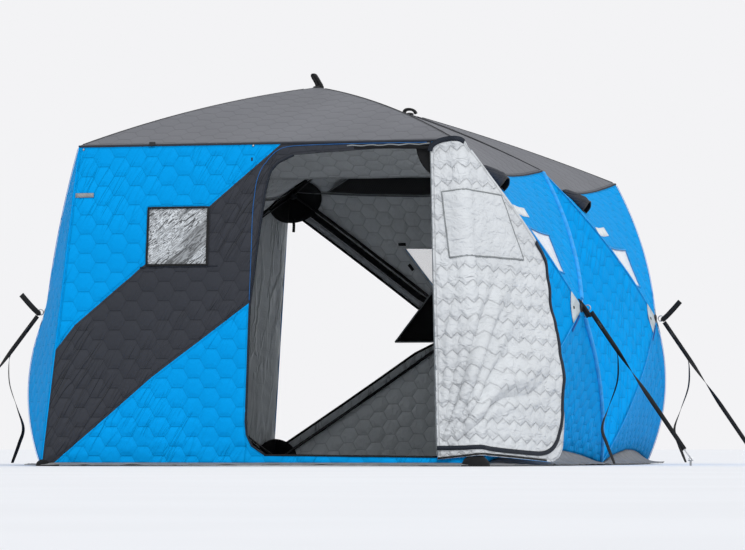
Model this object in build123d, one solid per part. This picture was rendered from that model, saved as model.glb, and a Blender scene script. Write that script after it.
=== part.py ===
"""Two-module pop-up ice fishing hut: quilted fabric on bowed poles, in millimetres.

The front wall faces -Y and holds the door. Two hubbed walls stand on each long side, one at the
back, and two hubbed roofs lie over them. Every hub is pulled out by four bowed poles.
"""
from build123d import *
from math import atan2, cos, hypot, sin
import os

# ---- driving dimensions ----
EAVE_X = 1063.0          # half width at the eave
EAVE_Y = 2127.0          # half length at the eave
EAVE_Z = 1752.0          # height of the four end corners
MID_EAVE_Z = 1707.0      # the eave dips where the two modules meet
BASE_X = 1220.0          # half width on the ice at the end corners
BASE_Y = 2300.0          # half length on the ice
MID_BASE_X = 1406.0      # half width on the ice between the modules
HUB_Z = 877.0            # height of the wall hubs
HUB_X = {1: 1522.0, -1: 1610.0}   # the left walls are pulled out further
BACK_HUB_Y = 2580.0
ROOF_HUB_Z = 2135.0
MODULE_Y = EAVE_Y / 2    # distance of a module's middle from the middle of the hut
ANCHOR_X = {1: 2160.0, -1: 2330.0}
BACK_ANCHOR_Y = 3240.0

FABRIC = 8.0             # quilted wall and roof
SEAM_GAP = 6.0           # from a panel's edge to its seam line
HUB_HOLE = 0.05          # share of each panel left off around the hub
GORE_STEPS = 5
SLOPE_STEP = 0.02        # share of a seam over which a panel's slope is taken
BASE_CLEAR = 9.0         # the panels end this far above the ice, on the skirt

POLE_R = 5.5
POLE_INSET = 14.0        # poles run this far inside the fabric
POLE_HUB_END = 22.0      # a pole starts this far from its hub's middle
POLE_TIP_END = 12.0      # and stops this far short of its corner's middle
HUB_INSET = 37.0
HUB_R = 42.0
HUB_H = 26.0
CORNER_R = 27.0
CORNER_INSET = (34.0, 36.0, -42.0)   # an eave socket's middle, inwards and down from its corner
BOOT_INSET = (50.0, 48.0, 26.0)      # where the poles end inside a boot
SOCKET_R = 6.3
SOCKET_L = 80.0
BOOT_R = 34.0
BOOT_H = 44.0

# door, in the plane of the front wall: across (from the middle) and up (from the ice)
HINGE_TOP = (930.0, 1720.0)
HINGE_FOOT = (1003.0, 66.0)
DOOR_SILL = 66.0
DOOR_LEFT = -66.0
DOOR_LEFT_TOP = (0.0, 1450.0)
DOOR_HEAD_LEFT = (40.0, 1688.0)
DOOR_HEAD_RIGHT = (925.0, 1738.0)
FLAP = 6.0               # thickness of the door
FLAP_OUT = 13.0          # the closed door lies this far in front of the wall
HINGE_OUT = 18.0
CORNER_WRAP = 32.0       # the open door turns this far outside the corner
DOOR_LAP = 24.0          # the closed door laps the left side of the doorway
DOOR_RISE = 6.0          # and hangs this far above the sill
DOOR_TOP = 1706.0
DOOR_CORNER_R = 95.0
EDGE_R = 8.0
WRAP_ANGLE = 68.0
TUCK_ANGLE = 180.0
TUCK_OUT = 6.0
OPEN_ANGLE = 180.0
FOLD_GAP = 9.0
TUCK_CLEAR = (20.0, 10.0)         # the leaf ends this far inside the tuck line, above and beside
SHARP_R = 1.0            # where two panels of the door meet at a fold
EDGE_BEND_R = 30.0       # the shallow bend half way up the door's free edge
TUCK_TIP_R = 4.0
TUCK_OUTER_R = 60.0

SKIRT_W = 150.0
SKIRT_T = 4.0
SKIRT_END = 12.0         # the skirts stop this far from a corner
SKIRT_TUCK = 4.0         # and start this far under the wall
LOOP_SIZE = (34.0, 62.0)          # a roof loop's width and height, and its opening's
LOOP_HOLE = (22.0, 38.0)
LOOP_FOOT = 12.0         # the opening starts this far above the loop's foot
LOOP_UP = 14.0           # the foot, above the hub point
TAB_SIZE = (28.0, 60.0, 8.0)      # a wall hub's webbing tab: across, up and thick
TAB_OUT = 12.0
RING_OUT = 38.0
RING_R = 16.0
RING_WIRE_R = 3.0
STRAP_W = 25.0
STRAP_T = 2.0
STRAP_START = (58.0, -22.0)   # a strap leaves its ring this far out of and below the hub
STRAP_HEIGHT = 40.0      # its foot, above the ice
HOOK_RUN = (14.0, 58.0)  # the wire hook, from and to, along the strap from its foot
BUCKLE_DROP = 90.0       # from the ring to the buckle
STRAP_HOOK_GAP = 2.0     # between the strap's end and its hook
BUCKLE_SIZE = (34.0, 12.0, 44.0)  # across, thick and along the strap
BUCKLE_SLOT = 1.0        # the slot is this much wider and thicker than the strap
ANCHOR_INSET = 20.0      # an anchor stands this far inside the hut's reach
ANCHOR_ROD = (6.0, 30.0)          # radius and height above the ice
ANCHOR_CAP = (14.0, 6.0)          # radius and thickness
ANCHOR_CAP_UP = 26.0
HOOD_R = 76.0            # a vent hood is half of a cone: its mouth, and its root
HOOD_ROOT_R = 30.0
HOOD_WALL = 6.0
HOOD_ROOT = (0.31, 0.025)         # share across the panel, share short of its far edge
HOOD_MOUTH = (0.21, 0.222)
HOOD_HOLLOW_FROM = 12.0  # the hollow starts this far below the root
HOOD_BACKING = (0.5, 0.999)       # the stretch of panel that the hood is cut to
HOOD_SEAT = 0.5          # the hood's edge stands this far off the fabric

# windows in the top panels: share from the hub, share across from the panel's first pole
SIDE_WINDOW_MARKS = ((0.50, 0.06), (0.50, 0.60), (0.23, 0.43), (0.23, 0.10))
BACK_WINDOW_MARKS = ((0.58, 0.21), (0.58, 0.79), (0.29, 0.81), (0.29, 0.19))
PANE = 2.0
PANE_SHARE = 0.985       # the pane, in its opening
BINDING_W = 16.0
BINDING_T = 3.0
BINDING_OUT = 6.0
PATCH_T = 2.0
PATCH_LIFT = 6.0
PATCH_FAR = 0.11         # share of the panel that a hub patch reaches
PATCH_GAP = 0.005        # share between the hub's hole and the patch
MESH_SHARES = (0.66, 0.96)        # the pocket under the roof, shares from the hub
MESH_T = 3.0
MESH_LIFT = -30.0
MESH_MARGIN = 230.0      # from its side edges to the pole seams
BACK_LEAF_SHARES = (0.14, 0.98)   # the folded back door, shares from the left wall's hub
BACK_LEAF_LIFT = 26.0
HUB_PANEL_IN = 98.0      # the inner panel hangs this far inside the back hub
HUB_PANEL_LOW = (455.0, -98.0)    # its lower right corner, from the hub
HUB_PANEL_HIGH = (200.0, 230.0)
CUT_DEPTH = 160.0

LEAN = atan2(BASE_Y - EAVE_Y, EAVE_Z)
FRONT = Plane(origin=(0, -BASE_Y, 0), x_dir=(1, 0, 0), z_dir=(0, -cos(LEAN), sin(LEAN)))
FRONT_TOP = hypot(EAVE_Z, BASE_Y - EAVE_Y)

CENTRE_X = (ANCHOR_X[1] - ANCHOR_X[-1]) / 2
CENTRE_Y = (BACK_ANCHOR_Y - BASE_Y - SKIRT_W) / 2


# ---- the skeleton: corners, hubs and the seam lines between them ----
def eave(side, end):
    """Eave corner: side +1 right or -1 left, end -1 front, 0 between modules, +1 back."""
    return Vector(side * EAVE_X, end * EAVE_Y, EAVE_Z if end else MID_EAVE_Z)


def base(side, end):
    return Vector(side * (BASE_X if end else MID_BASE_X), end * BASE_Y, 0)


class Module:
    """A hub with four corners: its seam lines bow outwards from the straight."""

    def __init__(self, hub, out, corners, bows, feet):
        self.hub = Vector(*hub)
        self.out = Vector(*out)
        self.corners = corners
        self.bows = bows
        self.feet = feet

    def seam(self, index, share):
        straight = self.hub + (self.corners[index] - self.hub) * share
        point = straight + self.out * (4 * self.bows[index] * share * (1 - share))
        return point


def side_module(side, end):
    front, back = (-1, 0) if end < 0 else (0, 1)
    corners = [eave(side, front), eave(side, back), base(side, back), base(side, front)]
    pressed = side > 0 and end < 0
    outer = 90.0
    if pressed:
        bows = [35.0, 50.0, 50.0, 35.0]
    elif end < 0:
        bows = [20.0, 50.0, 50.0, outer]
    else:
        bows = [50.0, 50.0, outer, 50.0]
    return Module((side * HUB_X[side], end * MODULE_Y, HUB_Z), (side, 0, 0), corners, bows, (2, 3))


def back_module():
    corners = [eave(-1, 1), eave(1, 1), base(1, 1), base(-1, 1)]
    return Module((0, BACK_HUB_Y, HUB_Z), (0, 1, 0), corners, [50.0] * 4, (2, 3))


def roof_module(end):
    front, back = (-1, 0) if end < 0 else (0, 1)
    corners = [eave(-1, front), eave(1, front), eave(1, back), eave(-1, back)]
    bow = 40.0 if end < 0 else 18.0
    return Module((0, end * MODULE_Y, ROOF_HUB_Z), (0, 0, 1), corners, [bow] * 4, ())


WALLS = {
    "right_front": side_module(1, -1),
    "right_back": side_module(1, 1),
    "left_front": side_module(-1, -1),
    "left_back": side_module(-1, 1),
    "back": back_module(),
}
ROOFS = {"front": roof_module(-1), "back": roof_module(1)}
CORNERS = [(side, end) for side in (1, -1) for end in (-1, 0, 1)]
BACK_DOOR_PANEL = (3,)   # the back wall's left side panel is its doorway


# ---- fabric panels between two seam lines ----
def gore_section(module, first, second, share, thickness, lift, margin):
    """A thin rectangle across one panel, square to its surface."""
    low = max(share - SLOPE_STEP, 0.0)
    high = min(share + SLOPE_STEP, 1.0)
    start = module.seam(first, share)
    end = module.seam(second, share)
    across = (end - start).normalized()
    start = start + across * margin
    end = end - across * margin
    down = (module.seam(first, high) + module.seam(second, high)
            - module.seam(first, low) - module.seam(second, low))
    normal = across.cross(down).normalized()
    if normal.dot(module.out) < 0:
        normal = normal * -1
    inner = normal * (lift - thickness / 2)
    outer = normal * (lift + thickness / 2)
    return Face(Wire.make_polygon([start + inner, start + outer, end + outer, end + inner]))


def gore(module, first, second, near=HUB_HOLE, far=1.0, thickness=FABRIC, lift=0.0, steps=GORE_STEPS,
         margin=SEAM_GAP):
    shares = [near + (far - near) * step / steps for step in range(steps + 1)]
    sections = [gore_section(module, first, second, share, thickness, lift, margin) for share in shares]
    return loft(sections, ruled=True)


def far_share(module, first, second):
    """Where a panel stops: just short of the eave or of the ice."""
    drop = BASE_CLEAR if first in module.feet and second in module.feet else SEAM_GAP + FABRIC / 2
    reach = ((module.corners[first] + module.corners[second]) / 2 - module.hub).length
    return 1 - drop / reach


def wall_panels(module, skip=()):
    panels = []
    for first in range(4):
        second = (first + 1) % 4
        if first in skip:
            continue
        panels.append(gore(module, first, second, far=far_share(module, first, second)))
    return panels


def on_top_panel(module, share, across):
    left = module.seam(0, share)
    return left + (module.seam(1, share) - left) * across


def window_marks(module):
    """The corners of the window in a module's top panel."""
    marks = BACK_WINDOW_MARKS if module is WALLS["back"] else SIDE_WINDOW_MARKS
    return [on_top_panel(module, share, across) for share, across in marks]


def prism(points, depth, direction):
    low = Face(Wire.make_polygon([point - direction * depth / 2 for point in points]))
    return extrude(low, amount=depth, dir=direction)


def flat_outline(points):
    """The same corners laid on the plane of the first three."""
    normal = (points[1] - points[0]).cross(points[2] - points[0]).normalized()
    return [point - normal * (point - points[0]).dot(normal) for point in points]


# ---- poles, hubs, corners and boots ----
def pole_tip(module, index):
    """Where a pole ends: inside its corner socket or its boot."""
    corner = module.corners[index]
    across, along, up = BOOT_INSET if index in module.feet else CORNER_INSET
    return corner + Vector(-across * sign(corner.X), -along * sign(corner.Y), up)


def sign(value):
    return (value > 0) - (value < 0)


def pole_line(module, index):
    start = module.hub - module.out * HUB_INSET
    middle = module.seam(index, 0.5) - module.out * POLE_INSET
    line = Edge.make_three_point_arc(start, middle, pole_tip(module, index))
    return line.trim(POLE_HUB_END / line.length, 1 - POLE_TIP_END / line.length)


def pole(module, index):
    line = pole_line(module, index)
    return sweep(Plane(origin=line @ 0, z_dir=line % 0) * Circle(POLE_R), path=line)


def socket(module, index, at_hub):
    line = pole_line(module, index)
    if at_hub:
        return Plane(origin=line @ 0, z_dir=line % 0) * Cylinder(SOCKET_R, SOCKET_L, align=BOTTOM)
    return Plane(origin=line @ 1, z_dir=(line % 1) * -1) * Cylinder(SOCKET_R, SOCKET_L, align=BOTTOM)


BOTTOM = (Align.CENTER, Align.CENTER, Align.MIN)


def poles(module):
    return [pole(module, index) for index in range(4)]


def hub_block(module):
    centre = module.hub - module.out * HUB_INSET
    block = Plane(origin=centre, z_dir=module.out) * Cylinder(HUB_R, HUB_H)
    for index in range(4):
        block -= socket(module, index, True)
    return block


def modules_at(corner):
    found = []
    for module in list(WALLS.values()) + list(ROOFS.values()):
        for index in range(4):
            if (module.corners[index] - corner).length < 1:
                found.append((module, index))
    return found


def corner_bracket(side, end):
    found = modules_at(eave(side, end))
    module, index = found[0]
    block = Pos(*pole_tip(module, index)) * Sphere(CORNER_R)
    for module, index in found:
        block -= socket(module, index, False)
    return block


def pole_boot(side, end):
    found = modules_at(base(side, end))
    module, index = found[0]
    tip = pole_tip(module, index)
    block = Pos(tip.X, tip.Y, 0) * Cylinder(BOOT_R, BOOT_H, align=BOTTOM)
    for module, index in found:
        block -= socket(module, index, False)
    return block


# ---- front wall: flat panels sewn edge to edge around the door ----
def turn_sum(points):
    """Twice the outline's area, negative when the points run clockwise."""
    following = points[1:] + points[:1]
    return sum(a[0] * b[1] - b[0] * a[1] for a, b in zip(points, following))


def front_panel(points, out=0.0, thickness=FABRIC):
    ordered = points if turn_sum(points) > 0 else points[::-1]
    face = FRONT.offset(out - thickness / 2) * make_face(Polyline(*ordered, close=True))
    return extrude(face, amount=thickness, dir=FRONT.z_dir)


def edge_across(up):
    """Half width of the front wall at a height up its slope."""
    return BASE_X + (EAVE_X - BASE_X) * up / FRONT_TOP - SEAM_GAP


TOP = FRONT_TOP - SEAM_GAP - FABRIC / 2
FOOT = BASE_CLEAR
BAND_TOP_RUN = (1680.0, 0.86)      # height at the middle, slope
BAND_LOW_RUN = (939.0, 0.803)
BAND_FOOT = ((FOOT - BAND_LOW_RUN[0]) / BAND_LOW_RUN[1], FOOT)
WINDOW = (-650.0, 1100.0, -315.0, 1410.0)
BAND_MEETS_DOOR = DOOR_LEFT + 26


def line_at(run, across):
    return run[0] + run[1] * across


def meets_edge(run):
    """Where a slanting seam meets the left edge of the front wall."""
    up = line_at(run, -BASE_X)
    for _ in range(20):
        up = line_at(run, -edge_across(up))
    return (-edge_across(up), up)


def door_left_at(up):
    share = (up - DOOR_SILL) / (DOOR_LEFT_TOP[1] - DOOR_SILL)
    return DOOR_LEFT + (DOOR_LEFT_TOP[0] - DOOR_LEFT) * share


def front_upper_panel():
    across = (TOP - BAND_TOP_RUN[0]) / BAND_TOP_RUN[1]
    points = [(-edge_across(TOP), TOP), meets_edge(BAND_TOP_RUN), (across, TOP)]
    return front_panel(points) - window_panel(0, 0, CUT_DEPTH)


def front_band():
    across = (TOP - BAND_TOP_RUN[0]) / BAND_TOP_RUN[1]
    low = line_at(BAND_LOW_RUN, BAND_MEETS_DOOR)
    points = [meets_edge(BAND_TOP_RUN), (-edge_across(FOOT), FOOT), BAND_FOOT, (door_left_at(low), low),
              DOOR_LEFT_TOP, DOOR_HEAD_LEFT, (across, TOP)]
    return front_panel(points) - window_panel(0, 0, CUT_DEPTH)


def front_lower_panel():
    low = line_at(BAND_LOW_RUN, BAND_MEETS_DOOR)
    points = [BAND_FOOT, (DOOR_LEFT, FOOT), (DOOR_LEFT, DOOR_SILL), (door_left_at(low), low)]
    return front_panel(points)


def front_sill():
    points = [(DOOR_LEFT, FOOT), (HINGE_FOOT[0], FOOT), (HINGE_FOOT[0], DOOR_SILL),
              (DOOR_LEFT, DOOR_SILL)]
    return front_panel(points)


def door_header():
    across = (TOP - BAND_TOP_RUN[0]) / BAND_TOP_RUN[1]
    points = [DOOR_HEAD_LEFT, (HINGE_TOP[0], DOOR_HEAD_RIGHT[1]), (HINGE_TOP[0], TOP), (across, TOP)]
    return front_panel(points)


def door_margin():
    points = [(HINGE_FOOT[0], FOOT), (edge_across(FOOT), FOOT), (edge_across(TOP), TOP),
              (HINGE_TOP[0], TOP), HINGE_TOP, HINGE_FOOT]
    return front_panel(points)


def window_panel(grown, out, thickness):
    """The front window's outline, grown or shrunk all round."""
    left, low, right, high = WINDOW
    points = [(left - grown, low - grown), (right + grown, low - grown), (right + grown, high + grown),
              (left - grown, high + grown)]
    return front_panel(points, out, thickness)


def front_window():
    return window_panel(-3, 0, PANE)


def window_binding():
    return window_panel(BINDING_W, BINDING_OUT, BINDING_T) - window_panel(-2, BINDING_OUT, CUT_DEPTH)


# ---- door: a flap that folds back round the corner, its top corner tucked behind ----
def mirror_over_hinge(point):
    hinge_run = Vector(HINGE_TOP[0] - HINGE_FOOT[0], HINGE_TOP[1] - HINGE_FOOT[1], 0).normalized()
    arm = Vector(point[0] - HINGE_FOOT[0], point[1] - HINGE_FOOT[1], 0)
    turned = hinge_run * (2 * arm.dot(hinge_run)) - arm
    return (HINGE_FOOT[0] + turned.X, HINGE_FOOT[1] + turned.Y)


def on_front(point, out):
    return FRONT.from_local_coords(Vector(point[0], point[1], out))


def wrap_line_open(up):
    return (BASE_X + (EAVE_X - BASE_X) * up / FRONT_TOP + CORNER_WRAP, up)


WRAP_TOP = mirror_over_hinge(wrap_line_open(HINGE_TOP[1]))
WRAP_FOOT = mirror_over_hinge(wrap_line_open(HINGE_FOOT[1]))
TUCK_RIGHT = (WRAP_TOP[0] - 100, 1700.0)
TUCK_LEFT = (-50.0, 1165.0)
DOOR_LOW = DOOR_SILL + DOOR_RISE
DOOR_EDGE_LOW = (DOOR_LEFT - DOOR_LAP, DOOR_LOW)
DOOR_EDGE_MIDDLE = (DOOR_LEFT - DOOR_LAP, 700.0)
TOP_CORNER_OUTER = (-18.0, 1440.0)   # the tucked corner's edge over the doorway's left side
TOP_CORNER_UPPER = (30.0, 1700.0)
COVER_POINTS = ((748.0, 1113.0), (748.0, 1470.0), (412.0, 1470.0), (232.0, 1135.0))
COVER_T = 3.0
COVER_GAP = 1.0


def axis_on_front(low, high, out):
    start = on_front(low, out)
    return Axis(start, on_front(high, out) - start)


HINGE_AXIS = axis_on_front(HINGE_FOOT, HINGE_TOP, HINGE_OUT)
WRAP_AXIS = axis_on_front(WRAP_FOOT, WRAP_TOP, FLAP_OUT - FLAP)
TUCK_AXIS = axis_on_front(TUCK_LEFT, TUCK_RIGHT, FLAP_OUT + TUCK_OUT)


def fold_point(low, high, up, shift):
    share = (up - low[1]) / (high[1] - low[1])
    return (low[0] + (high[0] - low[0]) * share + shift, up)


def tucked(shape):
    return shape.rotate(TUCK_AXIS, TUCK_ANGLE)


def wrapped(shape):
    return shape.rotate(WRAP_AXIS, WRAP_ANGLE)


def opened(shape):
    return shape.rotate(HINGE_AXIS, OPEN_ANGLE)


def rounded_panel(points, radii, out, thickness):
    wire = FilletPolyline(*points, radius=radii, close=True)
    face = FRONT.offset(out - thickness / 2) * make_face(wire)
    return extrude(face, amount=thickness, dir=FRONT.z_dir)


def door_strip():
    """The part of the door beside the hinge seam, flat on the margin when open."""
    points = [fold_point(HINGE_FOOT, HINGE_TOP, DOOR_LOW, -FOLD_GAP),
              fold_point(HINGE_FOOT, HINGE_TOP, DOOR_TOP, -FOLD_GAP),
              fold_point(WRAP_FOOT, WRAP_TOP, DOOR_TOP, FOLD_GAP),
              fold_point(WRAP_FOOT, WRAP_TOP, DOOR_LOW, FOLD_GAP)]
    return front_panel(points, FLAP_OUT, FLAP)


def door_leaf():
    right_low = fold_point(WRAP_FOOT, WRAP_TOP, DOOR_LOW, -FOLD_GAP)
    right_top = fold_point(WRAP_FOOT, WRAP_TOP, DOOR_TOP, -FOLD_GAP)
    fold_top = (TUCK_RIGHT[0] + TUCK_CLEAR[0], DOOR_TOP)
    left_top = (TUCK_LEFT[0], TUCK_LEFT[1] - TUCK_CLEAR[1])
    points = [right_low, right_top, fold_top, left_top, DOOR_EDGE_MIDDLE, DOOR_EDGE_LOW]
    radii = [SHARP_R, SHARP_R, EDGE_R, EDGE_R, EDGE_BEND_R, DOOR_CORNER_R]
    return rounded_panel(points, radii, FLAP_OUT, FLAP)


def door_top_corner():
    points = [(TUCK_RIGHT[0] - 10, TUCK_RIGHT[1] + 3), (TUCK_LEFT[0] + 2, TUCK_LEFT[1] + 8),
              TOP_CORNER_OUTER, TOP_CORNER_UPPER]
    return rounded_panel(points, [TUCK_TIP_R, EDGE_R, TUCK_OUTER_R, DOOR_CORNER_R], FLAP_OUT, FLAP)


def window_cover():
    """The quilted cover over the door's own window, on the lining side."""
    return front_panel(list(COVER_POINTS), FLAP_OUT - (FLAP + COVER_T) / 2 - COVER_GAP, COVER_T)


# ---- small parts ----
def roof_pull_loop(module):
    """A webbing loop standing on a roof hub."""
    on_edge = (Align.CENTER, Align.MIN)
    hole = Pos(0, LOOP_FOOT) * Rectangle(*LOOP_HOLE, align=on_edge)
    outline = Rectangle(*LOOP_SIZE, align=on_edge) - hole
    loop = Plane(origin=module.hub + Vector(0, 0, LOOP_UP), z_dir=(0, 1, 0)) * outline
    return extrude(loop, amount=STRAP_W / 2, both=True)


def sideways(module):
    return Vector(0, 0, 1).cross(module.out)


def pull_tab(module):
    """A webbing tab sewn over the hub, standing out of the fabric."""
    plane = Plane(origin=module.hub + module.out * TAB_OUT, x_dir=sideways(module), z_dir=module.out)
    return plane * Box(*TAB_SIZE)


def pull_ring(module):
    centre = module.hub + module.out * RING_OUT
    return Plane(origin=centre, z_dir=sideways(module)) * Torus(RING_R, RING_WIRE_R)


def strap_between(start, end, width_along):
    """A flat strap, its width along a given direction."""
    run = end - start
    plane = Plane(origin=start, x_dir=width_along, z_dir=run.normalized())
    return plane * Box(STRAP_W, STRAP_T, run.length, align=BOTTOM)


def strap_ends(module, anchor):
    """A tie-down's line: where it leaves the hub's ring, and where its hook holds the anchor."""
    out, drop = STRAP_START
    start = module.hub + module.out * out + Vector(0, 0, drop)
    return start, anchor + Vector(0, 0, STRAP_HEIGHT)


def tie_down(module, anchor):
    start, foot = strap_ends(module, anchor)
    run = (foot - start).normalized()
    return strap_between(start, foot - run * (HOOK_RUN[1] + STRAP_HOOK_GAP), sideways(module))


def strap_buckle(module, anchor):
    start, foot = strap_ends(module, anchor)
    run = (foot - start).normalized()
    plane = Plane(origin=start + run * BUCKLE_DROP, x_dir=sideways(module), z_dir=run)
    slot = Box(STRAP_W + BUCKLE_SLOT, STRAP_T + BUCKLE_SLOT, 2 * BUCKLE_SIZE[2])
    return plane * (Box(*BUCKLE_SIZE) - slot)


def strap_hook(module, anchor):
    """The wire hook at the foot of a strap, caught over its anchor."""
    start, foot = strap_ends(module, anchor)
    run = (start - foot).normalized()
    return strap_between(foot + run * HOOK_RUN[0], foot + run * HOOK_RUN[1], sideways(module))


def ice_anchor(anchor):
    """The head of an anchor screwed into the ice, standing on its surface."""
    place = Pos(anchor.X, anchor.Y, 0)
    cap = Pos(0, 0, ANCHOR_CAP_UP) * Cylinder(*ANCHOR_CAP, align=BOTTOM)
    return place * (Cylinder(*ANCHOR_ROD, align=BOTTOM) + cap)


def anchor_of(name, module):
    if name == "back":
        return Vector(0, BACK_ANCHOR_Y - ANCHOR_INSET, 0)
    side = module.out.X
    return Vector(side * (ANCHOR_X[side] - ANCHOR_INSET), module.hub.Y, 0)


def vent_hood(module):
    """A fabric hood under the eave: half a cone on the panel, its mouth turned down."""
    far = far_share(module, 0, 1)
    tip, foot = [on_top_panel(module, far - short, across) for across, short in (HOOD_ROOT, HOOD_MOUTH)]
    down = (foot - tip).normalized()
    root = Plane(origin=tip, z_dir=down)
    mouth = Plane(origin=foot, z_dir=down)
    outer = loft([root * Circle(HOOD_ROOT_R), mouth * Circle(HOOD_R)], ruled=True)
    hollow_tip = root.offset(HOOD_HOLLOW_FROM) * Circle(HOOD_ROOT_R - HOOD_WALL)
    inner = loft([hollow_tip, mouth.offset(1) * Circle(HOOD_R - HOOD_WALL)], ruled=True)
    near, backed = HOOD_BACKING
    depth = 2 * HOOD_R
    seat = FABRIC / 2 + HOOD_SEAT
    backing = gore(module, 0, 1, near=near, far=backed, thickness=depth, lift=seat - depth / 2)
    return outer - inner - backing


def skirt(start, end, out):
    """A flat hem lying on the ice outside a wall's foot."""
    outline = Polyline(start, end, end + out * SKIRT_W, start + out * SKIRT_W, close=True)
    return extrude(make_face(outline), amount=SKIRT_T, dir=(0, 0, 1))


def skirts(side):
    pieces = []
    for front, back in ((-1, 0), (0, 1)):
        start = base(side, front)
        end = base(side, back)
        run = (end - start).normalized()
        out = Vector(run.Y, -run.X, 0) * side
        tuck = out * SKIRT_TUCK
        pieces.append(skirt(start + run * SKIRT_END - tuck, end - run * SKIRT_END - tuck, out))
    return pieces


def end_skirt(end):
    inset = -SKIRT_TUCK * end
    start = base(-1, end) + Vector(SKIRT_END, inset, 0)
    finish = base(1, end) + Vector(-SKIRT_END, inset, 0)
    return skirt(start, finish, Vector(0, end, 0))


def hub_patch(module):
    """Two reflective patches beside the hub, on the outside of the fabric's side panels."""
    return [gore(module, first, (first + 1) % 4, near=HUB_HOLE + PATCH_GAP, far=PATCH_FAR,
                 thickness=PATCH_T, lift=PATCH_LIFT, steps=1) for first in (1, 3)]


def roof_mesh():
    """The mesh pocket under the back roof, above the back wall."""
    module = ROOFS["back"]
    near, far = MESH_SHARES
    return gore(module, 2, 3, near=near, far=far, thickness=MESH_T, lift=MESH_LIFT, steps=1,
                margin=MESH_MARGIN)


def hub_panel():
    """The black panel that hangs inside the back wall, over its hub."""
    hung = Plane(origin=WALLS["back"].hub - Vector(0, HUB_PANEL_IN, 0), z_dir=(0, -1, 0), x_dir=(1, 0, 0))
    low, high = HUB_PANEL_LOW, HUB_PANEL_HIGH
    outline = Polyline((-low[0], low[1]), low, high, (-high[0], high[1]), close=True)
    return extrude(hung * make_face(outline), amount=PATCH_T / 2, both=True)


def back_door_leaf():
    """The back door, folded back round its corner and lying on the left wall."""
    near, far = BACK_LEAF_SHARES
    return gore(WALLS["left_back"], 1, 2, near=near, far=far, thickness=FLAP, lift=BACK_LEAF_LIFT)


def window_outline(module):
    points = flat_outline(window_marks(module))
    normal = (points[1] - points[0]).cross(points[2] - points[0]).normalized()
    return points, normal


def panels_with_window(module, skip=()):
    points, normal = window_outline(module)
    cutter = prism(points, CUT_DEPTH, normal)
    panels = wall_panels(module, skip)
    panels[0] = panels[0] - cutter
    return panels


def window_pane(module):
    points, normal = window_outline(module)
    centre = sum(points, Vector(0, 0, 0)) / len(points)
    inner = [centre + (point - centre) * PANE_SHARE for point in points]
    return prism(inner, PANE, normal)


# ---- writing the files ----
def write(name, *shapes):
    solids = []
    for shape in shapes:
        solids.extend(shape.solids())
    placed = [Pos(-CENTRE_X, -CENTRE_Y, 0) * solid for solid in solids]
    whole = placed[0] if len(placed) == 1 else Compound(children=placed)
    export_step(whole, f"parts/{name}.step")


def write_front():
    write("front_wall_upper_panel", front_upper_panel())
    write("front_wall_diagonal_band", front_band())
    write("front_wall_lower_panel", front_lower_panel())
    write("front_door_sill", front_sill())
    write("front_door_header", door_header())
    write("front_door_margin", door_margin())
    write("front_window", front_window())
    write("front_window_binding", window_binding())


def write_door():
    write("front_door_strip", opened(door_strip()))
    write("front_door_leaf", opened(wrapped(door_leaf())))
    write("front_door_window_cover", opened(wrapped(window_cover())))
    write("front_door_top_corner", opened(wrapped(tucked(door_top_corner()))))
    write("back_door_leaf", back_door_leaf())


def write_walls():
    for name, module in WALLS.items():
        open_panels = BACK_DOOR_PANEL if name == "back" else ()
        write(f"{name}_wall", *panels_with_window(module, open_panels))
        write(f"{name}_wall_poles", *poles(module))
    for name, module in ROOFS.items():
        write(f"{name}_roof", *wall_panels(module))
        write(f"{name}_roof_poles", *poles(module))


def write_hubs():
    modules = WALLS.values()
    roofs = ROOFS.values()
    patches = [patch for module in modules for patch in hub_patch(module)]
    write("wall_hubs", *[hub_block(module) for module in modules])
    write("roof_hubs", *[hub_block(module) for module in roofs])
    write("eave_corner_sockets", *[corner_bracket(side, end) for side, end in CORNERS])
    write("pole_boots", *[pole_boot(side, end) for side, end in CORNERS])
    write("roof_pull_loops", *[roof_pull_loop(module) for module in roofs])
    write("hub_pull_tabs", *[pull_tab(module) for module in modules])
    write("hub_pull_rings", *[pull_ring(module) for module in modules])
    write("hub_patches", *patches)
    write("side_windows", *[window_pane(module) for module in modules])
    write("vent_hoods", *[vent_hood(module) for module in modules])


def write_tie_downs():
    pairs = [(module, anchor_of(name, module)) for name, module in WALLS.items()]
    write("tie_down_straps", *[tie_down(module, anchor) for module, anchor in pairs])
    write("strap_buckles", *[strap_buckle(module, anchor) for module, anchor in pairs])
    write("strap_hooks", *[strap_hook(module, anchor) for module, anchor in pairs])
    write("ice_anchors", *[ice_anchor(anchor) for _, anchor in pairs])


def write_trim():
    write("snow_skirts", *skirts(1), *skirts(-1), end_skirt(-1), end_skirt(1))
    write("overhead_mesh", roof_mesh())
    write("back_hub_panel", hub_panel())


def report_axis(name, axis):
    start = axis.position - Vector(CENTRE_X, CENTRE_Y, 0)
    print(name, [round(v / 1000, 5) for v in start], [round(v, 5) for v in axis.direction])


def turned_axis(axis, about, angle):
    line = Edge.make_line(axis.position, axis.position + axis.direction * 1000).rotate(about, angle)
    return Axis(line @ 0, (line @ 1) - (line @ 0))


os.makedirs("parts", exist_ok=True)
write_front()
write_door()
write_walls()
write_hubs()
write_tie_downs()
write_trim()
report_axis("hinge", HINGE_AXIS)
report_axis("wrap", turned_axis(WRAP_AXIS, HINGE_AXIS, OPEN_ANGLE))
tuck_axis_wrapped = turned_axis(TUCK_AXIS, WRAP_AXIS, WRAP_ANGLE)
report_axis("tuck", turned_axis(tuck_axis_wrapped, HINGE_AXIS, OPEN_ANGLE))
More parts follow.
